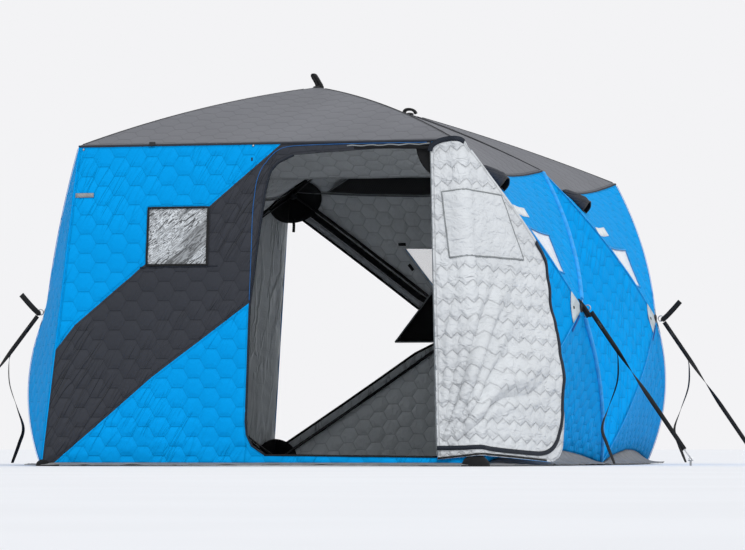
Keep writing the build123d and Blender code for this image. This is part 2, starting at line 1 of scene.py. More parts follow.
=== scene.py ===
"""Fabric, trim and stage of a two-room pop-up ice fishing hut, made around its packed frame.

Lengths are in metres. The front wall faces -Y and holds the door. Each room has a hubbed wall on
either side and a hubbed roof, and the far end has a hubbed wall too. Every piece rides on a body of
the frame, so the door's fabric folds with its three stiff panels.
"""

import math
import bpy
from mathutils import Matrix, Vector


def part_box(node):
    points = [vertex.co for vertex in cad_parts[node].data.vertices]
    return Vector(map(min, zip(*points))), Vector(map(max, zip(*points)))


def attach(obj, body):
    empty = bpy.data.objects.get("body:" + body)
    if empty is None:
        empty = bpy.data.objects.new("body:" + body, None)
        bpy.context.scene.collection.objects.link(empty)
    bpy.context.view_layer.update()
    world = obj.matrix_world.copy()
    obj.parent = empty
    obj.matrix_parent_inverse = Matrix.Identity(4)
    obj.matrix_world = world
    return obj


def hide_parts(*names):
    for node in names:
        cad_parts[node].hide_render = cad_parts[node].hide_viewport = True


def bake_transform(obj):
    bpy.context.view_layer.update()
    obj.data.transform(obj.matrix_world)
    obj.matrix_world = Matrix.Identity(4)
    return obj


bl_info = {
    "name": "Pop-up ice fishing hut",
    "version": (1, 0, 0),
    "blender": (4, 5, 0),
    "location": "View3D > Sidebar > Hut",
    "description": "Makes the quilted fabric, trim and stage of a pop-up ice fishing hut",
    "category": "Object",
}

import bmesh
import bpy
from bpy.props import FloatProperty, FloatVectorProperty, PointerProperty
from mathutils import Matrix, Vector, noise

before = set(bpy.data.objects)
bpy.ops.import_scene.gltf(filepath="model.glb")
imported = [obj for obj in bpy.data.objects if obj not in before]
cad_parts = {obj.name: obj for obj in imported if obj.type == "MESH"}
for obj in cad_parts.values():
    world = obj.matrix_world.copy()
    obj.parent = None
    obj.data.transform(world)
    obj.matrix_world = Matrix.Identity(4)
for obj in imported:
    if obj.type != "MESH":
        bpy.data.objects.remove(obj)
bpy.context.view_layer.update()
SOCKETS = [Vector(corner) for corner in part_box("eave_corner_sockets")]
MIDDLE = Vector(((SOCKETS[0].x + SOCKETS[1].x) / 2, (SOCKETS[0].y + SOCKETS[1].y) / 2, 0))
UP = Vector((0, 0, 1))
ROOT3 = math.sqrt(3)


# ---- sizes and colours ----
def linear(hex_colour):
    """An sRGB colour such as 0x0090E8 as the linear colour that shaders use."""
    channels = [(hex_colour >> shift & 255) / 255 for shift in (16, 8, 0)]
    return [c / 12.92 if c <= 0.04045 else ((c + 0.055) / 1.055) ** 2.4 for c in channels]


def length(name, default, description):
    return FloatProperty(name=name, default=default, description=description, unit="LENGTH", precision=4)


def colour(name, default, description):
    return FloatVectorProperty(name=name, default=linear(default), description=description, subtype="COLOR",
                               min=0, max=1)


class HutShape(bpy.types.PropertyGroup):
    eave_half_width: length("Eave half width", 1.063, "Middle of the hut to an eave corner, across")
    eave_half_length: length("Eave half length", 2.127, "Middle of the hut to an end eave corner, along")
    eave_height: length("Eave height", 1.752, "Height of the four end corners")
    mid_eave_height: length("Middle eave height", 1.707, "Height of the eave where the rooms meet")
    foot_half_width: length("Foot half width", 1.220, "Middle of the hut to an end corner on the ice")
    foot_half_length: length("Foot half length", 2.300, "Middle of the hut to an end wall on the ice")
    mid_foot_half_width: length("Middle foot half width", 1.406, "Middle to the foot where the rooms meet")
    hub_height: length("Hub height", 0.877, "Height of the wall hubs")
    right_hub: length("Right hub reach", 1.522, "Middle of the hut to a right hub")
    left_hub: length("Left hub reach", 1.610, "Middle of the hut to a left hub")
    back_hub: length("Back hub reach", 2.580, "Middle of the hut to the back hub")
    roof_hub: length("Roof hub height", 2.135, "Height of the roof hubs")
    eave_sag: length("Eave sag", 0.092, "How far the eave hangs at a panel's middle")
    eave_pull: length("Eave pull", 0.060, "How far the eave is drawn in at a panel's middle")
    foot_rise: length("Foot rise", 0.085, "How far a wall's foot lifts at a panel's middle")
    panel_dip: length("Panel dip", 0.022, "How far a panel sinks between its poles")


class HutCloth(bpy.types.PropertyGroup):
    cell: length("Quilt cell", 0.106, "Height of a six-sided quilting cell, flat to flat")
    wall_loft: length("Wall loft", 0.013, "Thickness of a wall in a cell's middle")
    door_loft: length("Door loft", 0.017, "Thickness of the door in a cell's middle")
    step: length("Cloth step", 0.026, "Spacing of the points in a cloth")
    wrinkle: length("Wrinkle height", 0.005, "Height of the loose wrinkles in a stretched wall")


class HutColours(bpy.types.PropertyGroup):
    blue: colour("Blue fabric", 0x0096E0, "Quilted wall panels")
    dark: colour("Dark fabric", 0x393B41, "Diagonal band, header and hoods")
    # Painted reflection: the roofs' base is paler than the band's, to stand in for the bright sky that the
    # upward-facing roofs reflect.
    roof: colour("Roof fabric", 0x727378, "The two roofs, paler than the band")
    lining: colour("Lining", 0xCFD2D5, "Inner face of the door")
    # Painted light: the room lining is paler than the door's lining, the same cloth, to stand in for the
    # daylight that the walls let into the rooms.
    inner: colour("Room lining", 0xE2E6E8, "Inner face of the walls and roof")
    skirt: colour("Skirt", 0x808081, "Plain hem that lies on the ice")
    zip: colour("Zip tape", 0x161D28, "Tape of the door's zips")
    piping: colour("Blue piping", 0x25609F, "Piping around the doorway")
    # Painted highlight: a paler blue than the walls, for the light that the fabric catches where it turns
    # over the poles; the same blue edges the side windows.
    ridge: colour("Ridge piping", 0x2F9FE8, "Piping over the walls' poles")
    seam: colour("Grey piping", 0x85898B, "Seam tape inside the rooms")
    black: colour("Black parts", 0x121315, "Webbing, plastic, rubber and patches")
    reflective: colour("Reflective cloth", 0xDFE4E6, "Reflective strips and hub patches")
    floor: colour("Floor", 0xEBECF0, "Ground of the stage")
    sky: colour("Backdrop", 0xF3F3F5, "Backdrop of the stage")


def shape():
    return bpy.context.scene.hut_shape


def cloth():
    return bpy.context.scene.hut_cloth


def colours():
    return bpy.context.scene.hut_colours


# ---- the hut's skeleton ----
def eave(side, end):
    """Eave corner: side +1 right or -1 left, end -1 front, 0 between the rooms, +1 back."""
    s = shape()
    height = s.eave_height if end else s.mid_eave_height
    return MIDDLE + Vector((side * s.eave_half_width, end * s.eave_half_length, height))


def foot(side, end):
    s = shape()
    half = s.foot_half_width if end else s.mid_foot_half_width
    return MIDDLE + Vector((side * half, end * s.foot_half_length, 0))


class PoleSet:
    """A hub, its four corners in order round it, and the set of the four panels between them."""

    def __init__(self, hub, out, corners, bows, edges, turned):
        self.hub = MIDDLE + Vector(hub)
        self.out = Vector(out)
        self.corners = corners
        self.bows = bows
        self.edges = edges
        self.turned = turned

    def seam(self, index, share):
        """A point of a pole's seam, its share of the way from the hub."""
        bow = 4 * self.bows[index % 4] * share * (1 - share)
        return self.hub.lerp(self.corners[index % 4], share) + self.out * bow

    def width(self, first, share):
        return (self.seam(first + 1, share) - self.seam(first, share)).length

    def reach(self, first):
        return ((self.corners[first] + self.corners[(first + 1) % 4]) / 2 - self.hub).length

    def normal(self, first, share):
        low, high = max(share - 0.02, 0.0), min(share + 0.02, 1.0)
        across = self.seam(first + 1, share) - self.seam(first, share)
        down = self.seam(first, high) + self.seam(first + 1, high)
        down -= self.seam(first, low) + self.seam(first + 1, low)
        normal = across.cross(down).normalized()
        return normal if normal.dot(self.out) > 0 else -normal

    def place(self, first, share, across, lift=0.0):
        """A point of a panel's stretched fabric, raised from it by lift."""
        hump = 4 * across * (1 - across)
        normal = self.normal(first, share)
        point = self.seam(first, share).lerp(self.seam(first + 1, share), across)
        point += self.edges[first] * hump * share ** 4
        point -= normal * (shape().panel_dip * hump * 4 * share * (1 - share))
        point += normal * (wrinkles(point) * min(1.0, hump * 3) + lift)
        point.z = max(point.z, 0.008)
        return point

    def surface(self, first):
        """A panel's fabric by its place across and its share from the hub."""
        return lambda x, y, lift=0.0: self.place(first, y, x, lift)

    def flat(self, first, share, across):
        """The same point on the flat cut, where the quilting keeps its rows level."""
        x = (across - 0.5) * self.width(first, share)
        y = -share * self.reach(first)
        return (y, x) if first in self.turned else (x, y)


def wrinkles(point):
    """Height of the loose wrinkles at a point: small ones above, and longer, deeper ones near the ice."""
    low = max(0.0, 1 - point.z / 0.5)
    ripple = noise.noise(Vector((point.x, point.y, point.z * 1.6)) * 4.5)
    crease = noise.noise(Vector((point.x * 3, point.y * 3, point.z * 16)))
    return cloth().wrinkle * (ripple + low * 1.6 * crease)


def side_poles(side, end):
    s = shape()
    front, back = (-1, 0) if end < 0 else (0, 1)
    corners = [eave(side, front), eave(side, back), foot(side, back), foot(side, front)]
    if side > 0 and end < 0:
        bows = [0.035, 0.050, 0.050, 0.035]
    elif end < 0:
        bows = [0.020, 0.050, 0.050, 0.090]
    else:
        bows = [0.050, 0.050, 0.090, 0.050]
    hub = (side * (s.right_hub if side > 0 else s.left_hub), end * s.eave_half_length / 2, s.hub_height)
    edges = [eave_set(Vector((side, 0, 0))), Vector(), foot_set(Vector((side, 0, 0))), Vector()]
    return PoleSet(hub, (side, 0, 0), corners, bows, edges, (1, 3))


def eave_set(out):
    return -out * shape().eave_pull - UP * shape().eave_sag


def foot_set(out):
    return out * shape().foot_rise * 0.3 + UP * shape().foot_rise


def back_poles():
    s = shape()
    corners = [eave(-1, 1), eave(1, 1), foot(1, 1), foot(-1, 1)]
    out = Vector((0, 1, 0))
    edges = [eave_set(out) * 0.5, Vector(), foot_set(out) * 0.3, Vector()]
    return PoleSet((0, s.back_hub, s.hub_height), out, corners, [0.050] * 4, edges, (1, 3))


def roof_poles(end):
    s = shape()
    front, back = (-1, 0) if end < 0 else (0, 1)
    corners = [eave(-1, front), eave(1, front), eave(1, back), eave(-1, back)]
    right, left = eave_set(Vector((1, 0, 0))), eave_set(Vector((-1, 0, 0)))
    valley = UP * -0.02
    if end < 0:
        edges = [Vector(), right, valley, left]
    else:
        edges = [valley, right, eave_set(Vector((0, 1, 0))) * 0.5, left]
    bow = 0.040 if end < 0 else 0.018
    return PoleSet((0, end * s.eave_half_length / 2, s.roof_hub), UP, corners, [bow] * 4, edges, (1, 3))


def wall_poles():
    return {
        "right_front": side_poles(1, -1),
        "right_back": side_poles(1, 1),
        "left_front": side_poles(-1, -1),
        "left_back": side_poles(-1, 1),
        "back": back_poles(),
    }


def on_front(across, up, out=0.0):
    """A point of the front wall's plane: across from its middle, up its slope, and out of it."""
    s = shape()
    lean = math.atan2(s.foot_half_length - s.eave_half_length, s.eave_height)
    rise = Vector((0, math.sin(lean), math.cos(lean)))
    ahead = Vector((0, -math.cos(lean), math.sin(lean)))
    return MIDDLE + Vector((across, -s.foot_half_length, 0)) + rise * up + ahead * out


def front_top():
    return math.hypot(shape().eave_height, shape().foot_half_length - shape().eave_half_length)


def front_edge(up):
    s = shape()
    return s.foot_half_width + (s.eave_half_width - s.foot_half_width) * up / front_top()


# ---- mesh makers ----
def rough(x, y, across, along, seed):
    """Smooth noise, about -1 to 1, at a place on a flat sheet, with a frequency for each way."""
    return noise.noise(Vector((x * across, y * along, seed)))


def cell_edge(x, y):
    """How near a point of the flat cut is to its cell's stitching: 0 in the middle, 0.5 on it."""
    x, y = x / cloth().cell, y / cloth().cell
    best = None
    for shift_x, shift_y in ((0, 0), (ROOT3 / 2, 0.5)):
        px = (x - shift_x) - ROOT3 * round((x - shift_x) / ROOT3)
        py = (y - shift_y) - round(y - shift_y)
        if best is None or px * px + py * py < best[0] ** 2 + best[1] ** 2:
            best = (px, py)
    px, py = abs(best[0]), abs(best[1])
    return max(py, px * ROOT3 / 2 + py / 2)


def unit_sheet(columns, rows):
    bm = bmesh.new()
    bmesh.ops.create_grid(bm, x_segments=columns, y_segments=rows, size=0.5)
    bmesh.ops.translate(bm, verts=bm.verts, vec=(0.5, 0.5, 0))
    return bm


def cut_line(bm, a, b, reach, clear=False):
    """Cuts a flat sheet along the line from a to b, near it only, or clears what lies to its right."""
    a, b = Vector((*a[:2], 0)), Vector((*b[:2], 0))
    normal = Vector((b.y - a.y, a.x - b.x, 0))
    if clear:
        geometry = bm.verts[:] + bm.edges[:] + bm.faces[:]
    else:
        low = (min(a.x, b.x) - reach, min(a.y, b.y) - reach)
        high = (max(a.x, b.x) + reach, max(a.y, b.y) + reach)
        faces = []
        for face in bm.faces:
            centre = face.calc_center_median()
            if low[0] < centre.x < high[0] and low[1] < centre.y < high[1]:
                faces.append(face)
        edges = {edge for face in faces for edge in face.edges}
        points = {vert for face in faces for vert in face.verts}
        geometry = faces + list(edges) + list(points)
    bmesh.ops.bisect_plane(bm, geom=geometry, dist=1e-5, plane_co=a, plane_no=normal, clear_outer=clear)


def sides(outline):
    return list(zip(outline, outline[1:] + outline[:1]))


def inside(outline, point):
    return all((b[0] - a[0]) * (point.y - a[1]) - (b[1] - a[1]) * (point.x - a[0]) > 0 for a,
               b in sides(outline))


def cut_hole(bm, outline, reach):
    """Cuts a convex hole, its corners counter-clockwise, through a flat sheet."""
    for a, b in sides(outline):
        cut_line(bm, a, b, reach)
    doomed = [face for face in bm.faces if inside(outline, face.calc_center_median())]
    bmesh.ops.delete(bm, geom=doomed, context="FACES")


def outline_sheet(outline, step):
    """A flat sheet with a convex outline, its corners counter-clockwise."""
    xs, ys = [p[0] for p in outline], [p[1] for p in outline]
    wide, high = max(xs) - min(xs), max(ys) - min(ys)
    bm = unit_sheet(max(2, round(wide / step)), max(2, round(high / step)))
    for vert in bm.verts:
        vert.co = Vector((min(xs) + vert.co.x * wide, min(ys) + vert.co.y * high, 0))
    for a, b in sides(outline):
        cut_line(bm, a, b, 0, clear=True)
    return bm


def gap_to(lines, x, y):
    """Distance on the flat cut from a point to the nearest of some lines."""
    nearest = 9.0
    for (ax, ay), (bx, by) in lines:
        dx, dy = bx - ax, by - ay
        share = max(0.0, min(1.0, ((x - ax) * dx + (y - ay) * dy) / (dx * dx + dy * dy)))
        nearest = min(nearest, math.hypot(x - ax - dx * share, y - ay - dy * share))
    return nearest


def drape(bm, place, facing, puff=0.68):
    """Moves a flat sheet's points to their places and keeps the flat cut as its UV map.

    place(x, y) gives the point, its flat cut and its distance from a seam. facing is the side that
    the sheet's outer face shows, and puff the share of the loft that the cells swell by.
    """
    uv = bm.loops.layers.uv.new("flat cut")
    gap_layer = bm.verts.layers.float.new("seam gap")
    loft_layer = bm.verts.layers.deform.verify()
    cuts = {}
    for vert in bm.verts:
        point, cut, gap = place(vert.co.x, vert.co.y)
        cuts[vert] = cut
        vert.co = point
        vert[gap_layer] = gap
        pillow = 1 - (2 * min(0.5, cell_edge(*cut))) ** 3
        vert[loft_layer][0] = 1 - puff + puff * pillow * min(1.0, gap / 0.03)
    for face in bm.faces:
        for loop in face.loops:
            loop[uv].uv = cuts[loop.vert]
    bm.normal_update()
    towards = sum(face.normal.dot(facing) * face.calc_area() for face in bm.faces)
    if towards < 0:
        bmesh.ops.reverse_faces(bm, faces=bm.faces[:])
    return bm


def joined(parts, weld=0.0006):
    whole = bmesh.new()
    for part in parts:
        mesh = bpy.data.meshes.new("part")
        part.to_mesh(mesh)
        part.free()
        whole.from_mesh(mesh)
        bpy.data.meshes.remove(mesh)
    if weld:
        bmesh.ops.remove_doubles(whole, verts=whole.verts[:], dist=weld)
    return whole


def bevelled_box(size, bevel):
    bm = bmesh.new()
    bmesh.ops.create_cube(bm, size=1.0)
    bmesh.ops.scale(bm, verts=bm.verts, vec=size)
    bmesh.ops.bevel(bm, geom=bm.edges[:], offset=bevel, segments=2, affect="EDGES", profile=0.5, material=-1)
    return bm


def as_object(name, bm, finishes):
    mesh = bpy.data.meshes.new(name)
    bm.to_mesh(mesh)
    bm.free()
    for finish in finishes:
        mesh.materials.append(finished(finish))
    mesh.polygons.foreach_set("use_smooth", [True] * len(mesh.polygons))
    piece = bpy.data.objects.new(name, mesh)
    bpy.context.scene.collection.objects.link(piece)
    return piece


def apply_modifiers(piece):
    bpy.context.view_layer.update()
    evaluated = piece.evaluated_get(bpy.context.evaluated_depsgraph_get())
    mesh = bpy.data.meshes.new_from_object(evaluated, preserve_all_data_layers=True,
                                           depsgraph=bpy.context.evaluated_depsgraph_get())
    piece.modifiers.clear()
    piece.data = mesh


def thicken(piece, thickness, quilted=False, second=False):
    """Gives a sheet its thickness; a quilted one swells in its cells and shows its lining inside."""
    if quilted:
        piece.vertex_groups.new(name="loft")
    solid = piece.modifiers.new("thickness", "SOLIDIFY")
    solid.thickness = thickness
    solid.offset = 0
    if quilted:
        solid.vertex_group = "loft"
    if second:
        solid.material_offset = 1
    apply_modifiers(piece)
    return piece


def fit(piece, slot, *nodes, body="hut"):
    """Puts a finished piece on its body, with its slot and the frame's solids that it stands for."""
    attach(piece, body)
    if nodes:
        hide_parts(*nodes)
    return piece


def curve_piece(name, paths, radius, finish, closed=False, smooth=False):
    """Round piping or wire along some paths, as one mesh."""
    curve = bpy.data.curves.new(name, "CURVE")
    curve.dimensions = "3D"
    curve.bevel_depth = radius
    curve.bevel_resolution = 2
    curve.use_fill_caps = True
    for path in paths:
        spline = curve.splines.new("NURBS" if smooth else "POLY")
        spline.points.add(len(path) - 1)
        for spot, point in zip(spline.points, path):
            spot.co = (*point, 1)
        spline.use_cyclic_u = closed
        if smooth:
            spline.order_u = 3
            spline.use_endpoint_u = True
    holder = bpy.data.objects.new(name, curve)
    bpy.context.scene.collection.objects.link(holder)
    bpy.context.view_layer.update()
    depsgraph = bpy.context.evaluated_depsgraph_get()
    mesh = bpy.data.meshes.new_from_object(holder.evaluated_get(depsgraph), depsgraph=depsgraph)
    bpy.data.objects.remove(holder)
    bpy.data.curves.remove(curve)
    mesh.name = name
    mesh.materials.clear()
    mesh.materials.append(finished(finish))
    mesh.polygons.foreach_set("use_smooth", [True] * len(mesh.polygons))
    piece = bpy.data.objects.new(name, mesh)
    bpy.context.scene.collection.objects.link(piece)
    return piece


def trace(surface, outline, count, lift, closed=False):
    """Points and outward directions along lines drawn on a surface, count to a line."""
    points, facings = [], []
    lines = sides(outline) if closed else list(zip(outline, outline[1:]))
    for a, b in lines:
        for step in range(count):
            x = a[0] + (b[0] - a[0]) * step / count
            y = a[1] + (b[1] - a[1]) * step / count
            points.append(surface(x, y, lift))
            facings.append((surface(x, y, lift + 0.01) - points[-1]).normalized())
    x, y = outline[0] if closed else outline[-1]
    points.append(surface(x, y, lift))
    facings.append((surface(x, y, lift + 0.01) - points[-1]).normalized())
    return points, facings


def curved_trace(surface, marks, steps, lift, above):
    """Points and outward directions along a smooth curve through marks on a surface."""
    path = smoothed([Vector((*mark, 0)) for mark in marks], steps)
    points = [surface(spot.x, spot.y, lift) for spot in path]
    return points, [(surface(spot.x, spot.y, above) - point).normalized() for spot,
                    point in zip(path, points)]


def ribbon(points, facings, width, columns=2):
    """A flat tape along some points, its face turned to the facings."""
    rows = len(points) - 1
    bm = unit_sheet(columns, rows)
    uv = bm.loops.layers.uv.new("flat cut")
    run = [0.0]
    for a, b in zip(points, points[1:]):
        run.append(run[-1] + (b - a).length)
    cuts = {}
    for vert in bm.verts:
        row = min(rows, round(vert.co.y * rows))
        along = (points[min(row + 1, rows)] - points[max(row - 1, 0)]).normalized()
        side = along.cross(facings[row]).normalized()
        offset = (vert.co.x - 0.5) * width
        cuts[vert] = (offset, run[row])
        vert.co = points[row] + side * offset
    for face in bm.faces:
        for loop in face.loops:
            loop[uv].uv = cuts[loop.vert]
    bm.normal_update()
    if sum(face.normal.dot(facings[0]) for face in list(bm.faces)[:4]) < 0:
        bmesh.ops.reverse_faces(bm, faces=bm.faces[:])
    return bm


def along(place, corners, counts):
    """Points of a place along the straight runs between some corners, count to a run."""
    points = [place(*corners[0])]
    for (ax, ay), (bx, by), count in zip(corners, corners[1:], counts):
        points += [place(ax + (bx - ax) * t / count, ay + (by - ay) * t / count)
                   for t in range(1, count + 1)]
    return points


def tape_piece(name, tapes, width, thickness, finish):
    """One piece made of flat tapes, each given as its points and facings."""
    bm = joined([ribbon(points, facings, width) for points, facings in tapes], weld=0)
    return thicken(as_object(name, bm, [finish]), thickness)


# ---- materials ----
def add(tree, kind, sockets=None, **settings):
    """Adds a node, with its settings, and its input sockets set or linked."""
    node = tree.nodes.new(kind)
    for name, value in settings.items():
        setattr(node, name, value)
    for socket, value in (sockets or {}).items():
        if isinstance(value, bpy.types.NodeSocket):
            tree.links.new(value, node.inputs[socket])
        else:
            node.inputs[socket].default_value = value
    return node


def rgba(value, gain=1.0):
    return (*[min(1.0, channel * gain) for channel in value], 1.0)


def blank(name, roughness, **shader):
    """A new material with its shader and output; shader sets the shader's own sockets."""
    material = bpy.data.materials.new(name)
    material.use_nodes = True
    tree = material.node_tree
    tree.nodes.clear()
    sockets = {key.replace("_", " ").title().replace("Ior", "IOR"): value for key, value in shader.items()}
    sockets["Roughness"] = roughness
    body = add(tree, "ShaderNodeBsdfPrincipled", sockets)
    add(tree, "ShaderNodeOutputMaterial", {"Surface": body.outputs[0]})
    return material, tree, body


def painted(tree, body, base, tone, relief=None):
    """Links a base colour, scaled by a tone, and a relief in metres to a shader."""
    shown = add(tree, "ShaderNodeVectorMath", {0: rgba(base)[:3], 3: tone}, operation="SCALE")
    tree.links.new(shown.outputs[0], body.inputs["Base Color"])
    if relief is not None:
        bump = add(tree, "ShaderNodeBump", {"Height": relief, "Distance": 1.0})
        tree.links.new(bump.outputs[0], body.inputs["Normal"])


def quilt_cells():
    """Node group: distances from a quilted cell's middle to its flat and slanted sides, 0.5 on them."""
    if "quilt cells" in bpy.data.node_groups:
        return bpy.data.node_groups["quilt cells"]
    tree = bpy.data.node_groups.new("quilt cells", "ShaderNodeTree")
    tree.interface.new_socket("Cut", in_out="INPUT", socket_type="NodeSocketVector")
    tree.interface.new_socket("Flat", in_out="OUTPUT", socket_type="NodeSocketFloat")
    tree.interface.new_socket("Slant", in_out="OUTPUT", socket_type="NodeSocketFloat")
    source = add(tree, "NodeGroupInput")
    half, less = (ROOT3 / 2, 0.5, 1.0), (-ROOT3 / 2, -0.5, -1.0)
    scaled = add(tree, "ShaderNodeVectorMath", {0: source.outputs[0], 3: 1 / cloth().cell},
                 operation="SCALE")
    other = add(tree, "ShaderNodeVectorMath", {0: scaled.outputs[0], 1: (ROOT3 / 2, 0.5, 0)},
                operation="SUBTRACT")
    wrapped = [add(tree, "ShaderNodeVectorMath", {0: node.outputs[0], 1: half, 2: less}, operation="WRAP")
               for node in (scaled, other)]
    reach = [add(tree, "ShaderNodeVectorMath", {0: node.outputs[0]}, operation="LENGTH") for node in wrapped]
    nearer = add(tree, "ShaderNodeMath", {0: reach[0].outputs["Value"], 1: reach[1].outputs["Value"]},
                 operation="LESS_THAN")
    chosen = add(tree, "ShaderNodeMix", {0: nearer.outputs[0], 4: wrapped[1].outputs[0],
                                         5: wrapped[0].outputs[0]}, data_type="VECTOR")
    whole = add(tree, "ShaderNodeVectorMath", {0: chosen.outputs[1]}, operation="ABSOLUTE")
    slanted = add(tree, "ShaderNodeVectorMath", {0: whole.outputs[0], 1: (ROOT3 / 2, 0.5, 0)},
                  operation="DOT_PRODUCT")
    parts = add(tree, "ShaderNodeSeparateXYZ", {0: whole.outputs[0]})
    add(tree, "NodeGroupOutput", {0: parts.outputs["Y"], 1: slanted.outputs["Value"]})
    return tree


def ramp(tree, value, low, high, start=0.0, end=1.0):
    """Runs smoothly from start to end as a value goes from low to high."""
    node = add(tree, "ShaderNodeMapRange", {0: value, 1: low, 2: high, 3: start, 4: end},
               interpolation_type="SMOOTHSTEP")
    return node.outputs[0]


def line_mask(tree, value, place, half):
    """1 on a line where a value is at a place, falling to 0 a half width to each side."""
    away = add(tree, "ShaderNodeMath", {0: value, 1: place}, operation="SUBTRACT")
    size = add(tree, "ShaderNodeMath", {0: away.outputs[0]}, operation="ABSOLUTE")
    return ramp(tree, size.outputs[0], half * 0.4, half, 1.0, 0.0)


def combine(tree, operation, first, second):
    return add(tree, "ShaderNodeMath", {0: first, 1: second}, operation=operation).outputs[0]


def creases(tree, place, patches, angle, stretch, height):
    """Long narrow ridges that lie at an angle, strongest in some patches of the cloth."""
    turned_place = add(tree, "ShaderNodeMapping", {"Vector": place, "Rotation": (0, 0, -angle)}).outputs[0]
    drawn_out = add(tree, "ShaderNodeVectorMath", {0: turned_place, 1: stretch},
                    operation="MULTIPLY").outputs[0]
    folds = add(tree, "ShaderNodeTexNoise", {"Vector": drawn_out, "Scale": 1.0, "Detail": 2.0,
                                             "Distortion": 0.5}).outputs[0]
    away = add(tree, "ShaderNodeMath", {0: folds, 1: 0.5}, operation="SUBTRACT")
    away = add(tree, "ShaderNodeMath", {0: away.outputs[0]}, operation="ABSOLUTE").outputs[0]
    ridge = ramp(tree, away, 0.0, 0.10, height, 0.0)
    return combine(tree, "MULTIPLY", ridge, ramp(tree, patches, 0.40, 0.58, 0.15, 1.0))


def quilted(name, base, roughness=0.62, sheen=0.03, shade=0.90, sink=0.0020, crease=0.0020, pucker=0.0,
            flat=1.0, slant=0.5, drawn=0.0, hung=0.0):
    """Woven polyester over wadding, sewn through in six-sided cells.

    The stitching sinks between the puffed cells, so it shows as a dark edge under a light one, and
    the shell is drawn into small loose creases. flat and slant say how strongly a cell's flat and
    slanted sides show. pucker adds the short crumples of a lining that is looser than its shell,
    drawn the long creases that rise steeply across a stretched shell, and hung the wrinkles that
    hang down a slack one. The threads, 0.4 mm apart, are too fine to show, so the weave is a faint
    5 mm mottle.
    """
    material, tree, body = blank(name, roughness, sheen_weight=sheen, sheen_roughness=0.5,
                                 specular_ior_level=0.04)
    cut = add(tree, "ShaderNodeUVMap", uv_map="flat cut").outputs[0]
    cells = add(tree, "ShaderNodeGroup", {"Cut": cut}, node_tree=quilt_cells())
    level = ramp(tree, cells.outputs["Flat"], 0.450, 0.494, 0.0, flat)
    slanted = ramp(tree, cells.outputs["Slant"], 0.450, 0.494, 0.0, slant)
    stitch = combine(tree, "MAXIMUM", level, slanted)
    shoulder = combine(tree, "MAXIMUM", ramp(tree, cells.outputs["Flat"], 0.22, 0.5, 0.0, flat),
                       ramp(tree, cells.outputs["Slant"], 0.22, 0.5, 0.0, slant))
    gap = add(tree, "ShaderNodeAttribute", attribute_name="seam gap").outputs["Fac"]
    seam = line_mask(tree, gap, 0.012, 0.004)
    place = add(tree, "ShaderNodeTexCoord").outputs["Object"]
    lines = combine(tree, "MAXIMUM", stitch, seam)
    broad = add(tree, "ShaderNodeTexNoise", {"Vector": place, "Scale": 2.2, "Detail": 4.0}).outputs[0]
    loose = add(tree, "ShaderNodeTexNoise", {"Vector": place, "Scale": 17.0, "Detail": 3.0,
                                             "Distortion": 1.2}).outputs[0]
    threads = add(tree, "ShaderNodeTexNoise", {"Vector": cut, "Scale": 200.0, "Detail": 2.0}).outputs[0]
    tone = ramp(tree, broad, 0.3, 0.7, 0.95, 1.05)
    tone = combine(tree, "MULTIPLY", tone, ramp(tree, threads, 0.3, 0.7, 0.98, 1.02))
    # Painted shade: tone darkens the stitch and seam lines by shade, for the shade in the sunk stitching, on
    # top of the shading that the relief gives.
    tone = combine(tree, "MULTIPLY", tone, ramp(tree, lines, 0.0, 1.0, 1.0, shade))
    puff = combine(tree, "MULTIPLY", shoulder, -1.8 * sink)
    sunk = combine(tree, "MULTIPLY", lines, -sink)
    relief = combine(tree, "ADD", combine(tree, "ADD", puff, sunk), combine(tree, "MULTIPLY", loose, crease))
    if pucker:
        level_cut = add(tree, "ShaderNodeVectorMath", {0: cut, 1: (1.9, 1.0, 1.0)}, operation="MULTIPLY")
        crumple = add(tree, "ShaderNodeTexNoise", {"Vector": level_cut.outputs[0], "Scale": 13.0,
                                                   "Detail": 2.0, "Roughness": 0.55,
                                                   "Distortion": 0.8}).outputs[0]
        relief = combine(tree, "ADD", relief, combine(tree, "MULTIPLY", crumple, pucker))
    if drawn:
        relief = combine(tree, "ADD", relief, creases(tree, cut, broad, 1.05, (2.2, 21, 1), drawn))
    if hung:
        relief = combine(tree, "ADD", relief, creases(tree, place, broad, 0.0, (15, 15, 1.6), hung))
    painted(tree, body, base, tone, relief)
    return material


def woven(name, base, roughness, sheen=0.01, thread=0.006, depth=0.0006, crease_depth=0.0):
    """Plain woven tape or cloth; its threads are drawn coarse enough to show."""
    material, tree, body = blank(name, roughness, sheen_weight=sheen, specular_ior_level=0.25)
    place = add(tree, "ShaderNodeTexCoord").outputs["Object"]
    warp = add(tree, "ShaderNodeTexWave", {"Vector": place, "Scale": 1 / thread / 3, "Distortion": 0.3},
               bands_direction="DIAGONAL").outputs["Fac"]
    mottle = add(tree, "ShaderNodeTexNoise", {"Vector": place, "Scale": 22.0, "Detail": 5.0}).outputs[0]
    tone = combine(tree, "MULTIPLY", ramp(tree, mottle, 0.3, 0.7, 0.86, 1.12),
                   ramp(tree, warp, 0, 1, 0.92, 1.05))
    relief = combine(tree, "ADD", combine(tree, "MULTIPLY", warp, depth),
                     combine(tree, "MULTIPLY", mottle, crease_depth))
    painted(tree, body, base, tone, relief)
    return material


